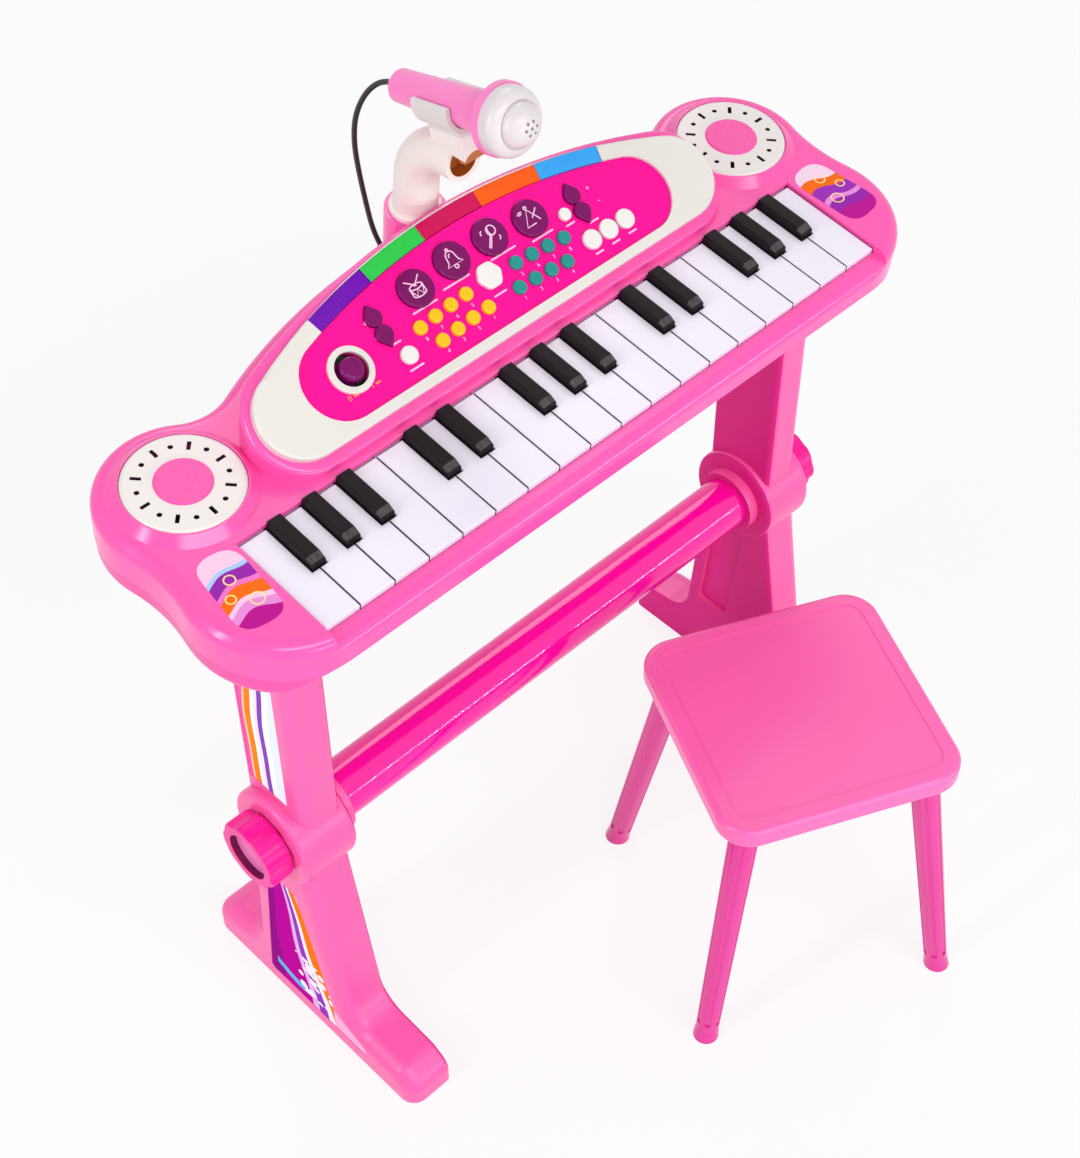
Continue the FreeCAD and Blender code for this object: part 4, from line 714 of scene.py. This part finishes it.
def sheetMesh(name, rim, rings, surface, sink, rise, middle=None):
    # The middle must see the whole rim
    middle = Vector(middle) if middle else sum(rim, Vector((0, 0))) / len(rim)
    flat = [middle]
    flat += [middle.lerp(point, ring / rings) for ring in range(1, rings + 1) for point in rim]
    upper = [(point.x, point.y, surface(point) + rise) for point in flat]
    lower = [(point.x, point.y, surface(point) - sink) for point in flat]
    around = len(rim)
    pairs = [(side, (side + 1) % around) for side in range(around)]
    faces = [(0, 1 + side, 1 + following) for side, following in pairs]
    for inner in range(1, 1 + (rings - 1) * around, around):
        outer = inner + around
        for side, following in pairs:
            faces.append((inner + side, outer + side, outer + following, inner + following))
    below = len(flat)
    faces += [tuple(below + corner for corner in reversed(face)) for face in faces]
    edge = 1 + (rings - 1) * around
    for side, following in pairs:
        faces.append((edge + following, edge + side, below + edge + side, below + edge + following))
    mesh = bpy.data.meshes.new(name)
    mesh.from_pydata(upper + lower, [], faces)
    return mesh


def flatFace(point):
    return 0.0


printedPaper = {"rough": 0.25, "roughDrift": 0.1, "bump": 0.05, "bumpDepth": 0.0002}


def printedSheet(finish, where, colour, look):
    paper = printedPaper
    waves = finish.noise(where, look["bumpScale"])
    return finish.close({
        "Base Color": colour,
        "Roughness": paper["rough"] + finish.noise(where, look["roughScale"]) * paper["roughDrift"],
        "Specular IOR Level": look["shine"],
        "Normal": finish.bump(waves, paper["bump"], paper["bumpDepth"]),
    })


cheekLabel = {
    "corners": [(0.2405, 0.0205), (0.2715, 0.024), (0.2645, 0.0805), (0.2365, 0.0775)],
    "reach": 0.013,
    "rings": 14,
    "above": 0.1,
    "sink": 0.0001,
    "rise": 0.00015,
    "front": 0.0205,
    "back": 0.0805,
    "wave": 0.035, "rippleAcross": 190.0, "rightPhase": 2.1, "slowAcross": 83.0, "slowAlong": 60.0,
    "bands": [
        ("B8048E", 0.17), ("E48CD4", 0.10), ("F6C4E4", 0.06), ("F46A04", 0.15), ("EC74C4", 0.06),
        ("9420A8", 0.15), ("A8C8F0", 0.05), ("F4C8E4", 0.26),
    ],
    "rightBands": [
        ("B8048E", 0.20), ("9420A8", 0.14), ("E48CD4", 0.07), ("9A2AB4", 0.17), ("F46A04", 0.16),
        ("F4D4EA", 0.26),
    ],
    "shine": 0.1, "roughScale": 300.0, "bumpScale": 90.0,
    "ringPlaces": [(0.2495, 0.039, 0.0042), (0.2615, 0.0475, 0.0030), (0.2535, 0.0585, 0.0034)],
    "ringWidth": 0.0009,
    "rightRingShift": 0.006,
    "ringColour": "FFE08A",
}


def bandStops(bands):
    stops = []
    reached = 0.0
    for code, width in bands:
        stops.append((reached, tint(code)))
        reached += width
    return stops


def cheekFinish():
    look = cheekLabel
    finish = Finish("cheekLabel")
    where = finish.place(deckPlace)
    x, y = finish.split(where)[:2]
    across = abs(x)
    onRight = x > 0.0
    ripple = (across * look["rippleAcross"] + onRight * look["rightPhase"]).sine()
    ripple = ripple + (across * look["slowAcross"] + y * look["slowAlong"]).sine()
    share = (y - look["front"]) / (look["back"] - look["front"]) + ripple * look["wave"]
    leftColour = finish.bands(share, bandStops(look["bands"]))
    rightColour = finish.bands(share, bandStops(look["rightBands"]))
    colour = finish.mix(onRight, leftColour, rightColour)
    for ringX, ringY, radius in look["ringPlaces"]:
        dx = across - ringX
        dy = y - ringY - onRight * look["rightRingShift"]
        offRing = abs((dx * dx + dy * dy) ** 0.5 - radius)
        colour = finish.mix(offRing < look["ringWidth"] / 2, colour, tint(look["ringColour"]))
    return printedSheet(finish, where, colour, look)


def makeCheekLabels():
    case = cadNodes["top_case"]
    inDeck = deckPlace.inverted() @ case.matrix_world
    tree = BVHTree.FromPolygons(
        [inDeck @ vertex.co for vertex in case.data.vertices],
        [polygon.vertices for polygon in case.data.polygons],
    )

    def caseTop(point):
        above = Vector((point.x, point.y, cheekLabel["above"]))
        return tree.ray_cast(above, Vector((0, 0, -1)))[0].z

    look = cheekLabel
    finish = cheekFinish()
    for side, sideName in sides:
        name = f"cheek_label_{sideName}"
        rim = roundedRim([(side * x, y) for x, y in look["corners"]], look["reach"])
        mesh = sheetMesh(name, rim, look["rings"], caseTop, look["sink"], look["rise"])
        mesh.transform(deckPlace)
        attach(addPiece(name, mesh, finish), "piano")


makeCheekLabels()

standSheet = {"rings": 2, "sink": 0.00005, "rise": 0.0004}
postLabel = {
    "out": 0.2372, "front": 0.0583, "back": 0.0957, "low": 0.2453, "high": 0.4027, "reach": 0.002,
    "middle": (0.077, 0.324), "shine": 0.0, "roughScale": 200.0, "bumpScale": 80.0,
    "bends": [(38.0, 0.0, 0.05), (91.0, 1.0, 0.02)],
    "bands": [
        ("E9F2FF", 0.20), ("FFFFFF", 0.14), ("8D4FC0", 0.13), ("F6E9FA", 0.10), ("FFFFFF", 0.08),
        ("FF8A2A", 0.16), ("FBD9B0", 0.05), ("FF62B5", 0.14),
    ],
}
footLabel = {
    "out": 0.2422,
    "corners": [(-0.0212, 0.0123), (0.1007, 0.0123), (0.0867, 0.1497), (0.0573, 0.1497), (0.0283, 0.0335)],
    "reach": 0.004, "middle": (0.036, 0.018),
    "top": 0.150, "frontTop": 0.0570, "backTop": 0.0870, "frontSlope": 0.42, "backSlope": 0.12,
    "bands": [
        ("FBC4E6", 0.11), ("FF7A14", 0.20), ("FFF4FA", 0.07), ("9A3EC0", 0.10), ("E7B8F0", 0.07),
        ("BE109E", 0.30), ("96188E", 0.15),
    ],
    "shine": 0.0, "roughScale": 200.0, "bumpScale": 80.0,
    "ripple": 60.0, "rippleSize": 0.03,
    "tipBack": 0.030, "tipHeight": 0.045, "tip": "F9B9E0",
    "swoosh": "5FC3F0", "swooshHeight": 0.030, "swooshWidth": 0.0035,
    "swooshWave": 70.0, "swooshSize": 0.006, "swooshFront": 0.052, "swooshBack": 0.092,
    "dots": "FFF2FB", "dotScale": 120.0, "dotSize": 0.46,
    "dotsLow": 0.022, "dotsHigh": 0.070, "dotsFront": 0.018, "dotsBack": 0.068,
}


def sideFrame(side, out):
    # Local X runs along Y on the right and against it on the left, local Y is up and local Z points out
    return Matrix(((0, 0, side, side * out), (side, 0, 0, layout["shift"]), (0, 1, 0, 0), (0, 0, 0, 1)))


def postLabelFinish():
    look = postLabel
    finish = Finish("postLabel")
    where = finish.place()
    y, height = finish.split(where)[1:]
    share = (y - look["front"] - layout["shift"]) / (look["back"] - look["front"])
    for rate, phase, size in look["bends"]:
        share = share + (height * rate + phase).sine() * size
    return printedSheet(finish, where, finish.bands(share, bandStops(look["bands"])), look)


def footLabelFinish():
    look = footLabel
    finish = Finish("footLabel")
    where = finish.place()
    y, height = finish.split(where)[1:]
    y = y - layout["shift"]
    fall = look["top"] - height
    front = look["frontTop"] - fall * look["frontSlope"]
    back = look["backTop"] + fall * look["backSlope"]
    share = (y - front) / (back - front) + (height * look["ripple"]).sine() * look["rippleSize"]
    colour = finish.bands(share, bandStops(look["bands"]))
    onTip = (y < look["tipBack"]) * (height < look["tipHeight"])
    colour = finish.mix(onTip, colour, tint(look["tip"]))
    offSwoosh = abs(height - look["swooshHeight"] - (y * look["swooshWave"]).sine() * look["swooshSize"])
    onSwoosh = (offSwoosh < look["swooshWidth"]) * (y > look["swooshFront"]) * (y < look["swooshBack"])
    colour = finish.mix(onSwoosh, colour, tint(look["swoosh"]))
    cellSockets = {"Vector": where, "Scale": look["dotScale"]}
    cells = finish.make("ShaderNodeTexVoronoi", None, cellSockets, "Distance")
    inHeight = (height < look["dotsHigh"]) * (height > look["dotsLow"])
    inCloud = inHeight * (y > look["dotsFront"]) * (y < look["dotsBack"])
    colour = finish.mix((cells < look["dotSize"]) * inCloud, colour, tint(look["dots"]))
    return printedSheet(finish, where, colour, look)


def makeStandLabels():
    post = postLabel
    postCorners = [
        (post["front"], post["low"]), (post["back"], post["low"]),
        (post["back"], post["high"]), (post["front"], post["high"]),
    ]
    labels = (
        ("post_label", postCorners, post, postLabelFinish()),
        ("foot_label", footLabel["corners"], footLabel, footLabelFinish()),
    )
    sheet = standSheet
    for name, corners, look, finish in labels:
        for side, sideName in sides:
            rim = roundedRim([(side * y, height) for y, height in corners], look["reach"])
            middle = (side * look["middle"][0], look["middle"][1])
            pieceName = f"{name}_{sideName}"
            mesh = sheetMesh(pieceName, rim, sheet["rings"], flatFace, sheet["sink"], sheet["rise"], middle)
            mesh.transform(sideFrame(side, look["out"]))
            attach(addPiece(pieceName, mesh, finish), "piano")


makeStandLabels()
print("labels laid on cheeks, posts and feet")


# Print on the panel: plain numbers, signs and short lines, a hair above its face
panelPrint = {
    "lift": 0.00002,
    "thick": 0.00006,
    "numberSize": 0.0034,
    "signSize": 0.0050,
    "lineWidth": 0.0011,
    "pale": {"colour": "FFD9EE", "deeper": "FFB8E0"},
    "orange": {"colour": "FFA51E", "deeper": "F58A10"},
    "dotPitch": 0.0131, "dotArc": 0.6, "perRow": 4,
    "rows": [(0.0132, 0.0200, -0.0072), (0.0210, 0.0343, -0.0078)],
    "signs": [
        ("+", -0.0889, 0.0505), ("-", -0.0886, 0.0400), ("+", 0.0969, 0.0500), ("-", 0.0987, 0.0400),
    ],
    "powerSigns": [("0", -0.1255, 0.0180), ("1", -0.1085, 0.0176)],
    "powerLines": [(-0.1225, 0.0178, 0.0040), (-0.1062, 0.0174, 0.0040)],
    "lines": [
        (-0.0588, 0.0405, 0.0200), (-0.0322, 0.0432, 0.0220), (0.0075, 0.0432, 0.0210),
        (0.0400, 0.0395, 0.0180), (-0.0835, 0.0313, 0.0080), (0.0830, 0.0305, 0.0080),
        (-0.0825, 0.0125, 0.0110), (0.0670, 0.0365, 0.0076), (0.0735, 0.0118, 0.0070),
        (0.0882, 0.0118, 0.0070), (0.1029, 0.0118, 0.0070), (-0.0052, 0.0232, 0.0104),
    ],
}
inkSkin = {"cloudScale": 500.0, "rough": 0.35, "roughDrift": 0.1, "bump": 0.05, "bumpDepth": 0.0001}


def inkFinish(name, look):
    finish = Finish(name)
    cloud = finish.noise(finish.place(), inkSkin["cloudScale"])
    return finish.close({
        "Base Color": shaded(finish, cloud, look),
        "Roughness": inkSkin["rough"] + cloud * inkSkin["roughDrift"],
        "Normal": finish.bump(cloud, inkSkin["bump"], inkSkin["bumpDepth"]),
    })


def letterMesh(sign, size, thick):
    data = bpy.data.curves.new("letter", "FONT")
    data.body = sign
    data.size = size
    data.extrude = thick / 2
    data.align_x = "CENTER"
    data.align_y = "CENTER"
    return curveMesh(data)


def joined(name, parts):
    # One mesh from several, each moved by its own matrix
    shape = bmesh.new()
    for part, matrix in parts:
        part.transform(matrix)
        shape.from_mesh(part)
        bpy.data.meshes.remove(part)
    mesh = bpy.data.meshes.new(name)
    shape.to_mesh(mesh)
    shape.free()
    return mesh


def makePanelPrint():
    look = panelPrint
    lift = look["lift"] + look["thick"] / 2
    pale = []
    orange = []
    for side in (-1, 1):
        for row, (start, along, below) in enumerate(look["rows"]):
            for number in range(look["perRow"]):
                across = start + number * look["dotPitch"]
                place = along - across ** 2 / (2 * look["dotArc"]) + below
                digits = str(look["perRow"] * row + number + 1)
                figure = letterMesh(digits, look["numberSize"], look["thick"])
                pale.append((figure, Matrix.Translation((side * across, place, lift))))
    for kept, signs in ((pale, look["signs"]), (orange, look["powerSigns"])):
        for sign, x, along in signs:
            letter = letterMesh(sign, look["signSize"], look["thick"])
            kept.append((letter, Matrix.Translation((x, along, lift))))
    half = look["lineWidth"] / 2
    for kept, lines in ((pale, look["lines"]), (orange, look["powerLines"])):
        for x, along, length in lines:
            end = x + length
            corners = [(x, along - half), (end, along - half), (end, along + half), (x, along + half)]
            line = sheetMesh("line", roundedRim(corners, half), 1, flatFace, 0, look["thick"])
            kept.append((line, Matrix.Translation((0, 0, look["lift"]))))
    for name, parts, ink in (("panel_print", pale, "pale"), ("power_print", orange, "orange")):
        mesh = joined(name, parts)
        mesh.transform(consolePlace)
        finish = inkFinish(name, look[ink])
        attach(addPiece(name, mesh, finish), "piano")


makePanelPrint()


# Raised line pictures on the four pads: a drum, a bell, a shaker and a triangle
padPictures = {
    "pitch": 0.0318, "row": 0.0563, "arc": 0.32, "face": 0.0026,
    "reach": 0.0078, "line": 0.00042, "roundness": 2,
    "colour": "FFE4F4", "deeper": "F7B8DE",
}


def bow(x, y, wide, tall, start, end, steps=16):
    angles = [math.radians(start + (end - start) * step / steps) for step in range(steps + 1)]
    return [(x + wide * math.cos(angle), y + tall * math.sin(angle)) for angle in angles]


# Strokes of each picture, in shares of its reach
pictures = [
    [
        bow(0, 0.12, 0.62, 0.22, 0, 360), bow(0, -0.52, 0.62, 0.22, 180, 360),
        [(-0.62, 0.12), (-0.62, -0.52)], [(0.62, 0.12), (0.62, -0.52)],
        [(-0.60, -0.05), (-0.3, -0.66), (0, -0.1), (0.3, -0.66), (0.60, -0.05)],
        [(-0.75, 0.85), (0.12, 0.15)], [(0.75, 0.85), (-0.12, 0.15)],
    ],
    [
        bow(0, 0.25, 0.42, 0.5, 0, 180),
        [(-0.42, 0.25), (-0.5, -0.2), (-0.78, -0.45), (0.78, -0.45), (0.5, -0.2), (0.42, 0.25)],
        bow(0, -0.62, 0.16, 0.16, 0, 360), bow(0, 0.86, 0.11, 0.11, 0, 360),
        bow(0.05, 0.2, 0.22, 0.3, 95, 175),
    ],
    [
        bow(0.3, 0.4, 0.42, 0.42, 0, 360), [(0.02, 0.08), (-0.7, -0.8)], [(0.12, 0.0), (-0.58, -0.88)],
        bow(0.3, 0.4, 0.26, 0.42, 130, 310), bow(-0.45, 0.45, 0.25, 0.25, 100, 200),
        bow(0.5, -0.35, 0.25, 0.25, 280, 380),
    ],
    [
        [(0.15, -0.62), (-0.78, -0.62), (0, 0.74), (0.72, -0.52)], bow(0, 0.88, 0.12, 0.12, 0, 360),
        [(0.1, -0.1), (0.86, 0.5)],
        bow(-0.66, 0.42, 0.2, 0.2, 60, 150), bow(-0.66, 0.42, 0.36, 0.36, 60, 150),
    ],
]


def makePadPictures():
    look = padPictures
    data = bpy.data.curves.new("padLines", "CURVE")
    data.dimensions = "3D"
    data.bevel_depth = look["line"]
    data.bevel_resolution = look["roundness"]
    data.use_fill_caps = True
    for number, strokes in enumerate(pictures):
        across = (number - (len(pictures) - 1) / 2) * look["pitch"]
        along = look["row"] - across ** 2 / (2 * look["arc"])
        for stroke in strokes:
            spline = data.splines.new("POLY")
            spline.points.add(len(stroke) - 1)
            for point, (x, y) in zip(spline.points, stroke):
                point.co = (across + x * look["reach"], along + y * look["reach"], look["face"], 1.0)
    mesh = curveMesh(data)
    mesh.transform(consolePlace)
    finish = inkFinish("padInk", look)
    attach(addPiece("pad_pictures", mesh, finish), "picture_pads")


makePadPictures()
print("panel printed, pictures raised on the pads")


# Speaker caps: fine beads in a sunflower pattern, set by Geometry Nodes
capBeads = {
    "height": 0.0102, "ballSteps": 2,
    "Count": 330, "Reach": 0.0158, "Bead": 0.00042,
    "goldenAngle": math.pi * (3 - math.sqrt(5)),
    "colour": "FF7CC4", "deeper": "F25CAE",
}


def beadTree():
    tree = bpy.data.node_groups.new("capBeads", "GeometryNodeTree")
    inputs = {
        "Count": "NodeSocketInt", "Reach": "NodeSocketFloat", "Bead": "NodeSocketFloat",
        "Finish": "NodeSocketMaterial",
    }
    for name, kind in inputs.items():
        tree.interface.new_socket(name, in_out="INPUT", socket_type=kind)
    tree.interface.new_socket("Beads", in_out="OUTPUT", socket_type="NodeSocketGeometry")
    graph = Graph(tree)
    count, reach, bead, finish = (graph.make("NodeGroupInput", None, None, name) for name in inputs)
    index = graph.make("GeometryNodeInputIndex")
    radius = ((index + 0.5) / count) ** 0.5 * reach
    angle = index * capBeads["goldenAngle"]
    across = radius * angle.maths("COSINE")
    along = radius * angle.sine()
    spot = graph.make("ShaderNodeCombineXYZ", None, {0: across, 1: along})
    points = graph.make("GeometryNodePoints", None, {"Count": count, "Position": spot})
    ballSockets = {"Radius": bead, "Subdivisions": capBeads["ballSteps"]}
    ball = graph.make("GeometryNodeMeshIcoSphere", None, ballSockets)
    beads = graph.make("GeometryNodeInstanceOnPoints", None, {"Points": points, "Instance": ball})
    solid = graph.make("GeometryNodeRealizeInstances", None, {"Geometry": beads})
    dressed = graph.make("GeometryNodeSetMaterial", None, {"Geometry": solid, "Material": finish})
    graph.make("NodeGroupOutput", None, {"Beads": dressed})
    return tree


def makeCapBeads():
    look = capBeads
    finish = inkFinish("capBead", look)
    tree = beadTree()
    values = {"Finish": finish, **{name: look[name] for name in ("Count", "Reach", "Bead")}}
    for side, sideName in sides:
        holder = bpy.data.objects.new("beadHolder", bpy.data.meshes.new("beadHolder"))
        modifier = holder.modifiers.new("beads", "NODES")
        modifier.node_group = tree
        for item in tree.interface.items_tree:
            if item.in_out == "INPUT":
                modifier[item.identifier] = values[item.name]
        mesh = bakedMesh(holder)
        middle = (side * grilleLook["across"], grilleLook["back"], look["height"])
        mesh.transform(deckPlace @ Matrix.Translation(middle))
        smoothFaces(mesh)
        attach(addPiece(f"cap_beads_{sideName}", mesh, finish), "piano")


makeCapBeads()
print("beads set on the speaker caps")


# Studio: white floor and surroundings, a low strip and a soft lamp in front, one at the left, one behind
studio = {
    "floorSize": 14.0,
    "floorColour": "F4F4F4",
    "floorGlow": 0.80,
    "glow": "FFFFFF",
    "ambient": 0.50,
    "lamps": [
        {"name": "lowStrip", "place": (0.4, -2.4, 0.70), "aim": (0.1, 0.0, 0.25),
         "size": (3.2, 0.035), "power": 22.0},
        {"name": "frontLamp", "place": (-0.5, -1.9, 2.3), "aim": (0.0, 0.05, 0.35),
         "size": (2.6, 0.5), "power": 30.0},
        {"name": "leftLamp", "place": (-2.2, 0.3, 1.5), "aim": (0.0, 0.1, 0.4),
         "size": (0.25, 1.8), "power": 20.0},
        {"name": "backLamp", "place": (1.2, 1.5, 2.2), "aim": (0.1, 0.0, 0.3),
         "size": (1.2, 1.2), "power": 14.0},
    ],
}


def seenRays(finish):
    # 1 for rays that see the studio, straight or mirrored, and 0 for those that only carry its light
    def ray(name):
        return finish.make("ShaderNodeLightPath", None, None, name)

    return ray("Is Camera Ray").most(ray("Is Glossy Ray")).most(ray("Is Transmission Ray"))


def layFloor():
    mesh = bpy.data.meshes.new("studioFloor")
    half = studio["floorSize"] / 2
    corners = [(-half, -half, 0), (half, -half, 0), (half, half, 0), (-half, half, 0)]
    mesh.from_pydata(corners, [], [(0, 1, 2, 3)])
    floor = bpy.data.objects.new("studioFloor", mesh)
    scene.collection.objects.link(floor)
    finish = Finish("floorPaper")
    seen = seenRays(finish)
    paper = finish.make("ShaderNodeBsdfDiffuse", None, {"Color": tint(studio["floorColour"])})
    glow = finish.make("ShaderNodeEmission", None, {"Color": tint(studio["glow"]), "Strength": 1.0})
    lit = finish.make("ShaderNodeMixShader", None, {0: seen * studio["floorGlow"], 1: paper, 2: glow})
    finish.make("ShaderNodeOutputMaterial", None, {"Surface": lit})
    mesh.materials.append(finish.material)


def lightSurroundings():
    world = bpy.data.worlds.new("studioWorld")
    world.use_nodes = True
    scene.world = world
    sky = Graph(world.node_tree)
    strength = studio["ambient"] + seenRays(sky) * (1.0 - studio["ambient"])
    backdrop = sky.make("ShaderNodeBackground", None, {"Color": tint(studio["glow"]), "Strength": strength})
    sky.make("ShaderNodeOutputWorld", None, {"Surface": backdrop})


def hangLamps():
    for lamp in studio["lamps"]:
        data = bpy.data.lights.new(lamp["name"], "AREA")
        data.shape = "RECTANGLE"
        data.size, data.size_y = lamp["size"]
        data.energy = lamp["power"]
        holder = bpy.data.objects.new(lamp["name"], data)
        aim = Vector(lamp["aim"]) - Vector(lamp["place"])
        turn = aim.to_track_quat("-Z", "Y").to_matrix().to_4x4()
        holder.matrix_world = Matrix.Translation(lamp["place"]) @ turn
        scene.collection.objects.link(holder)


layFloor()
lightSurroundings()
hangLamps()
print("studio lit")
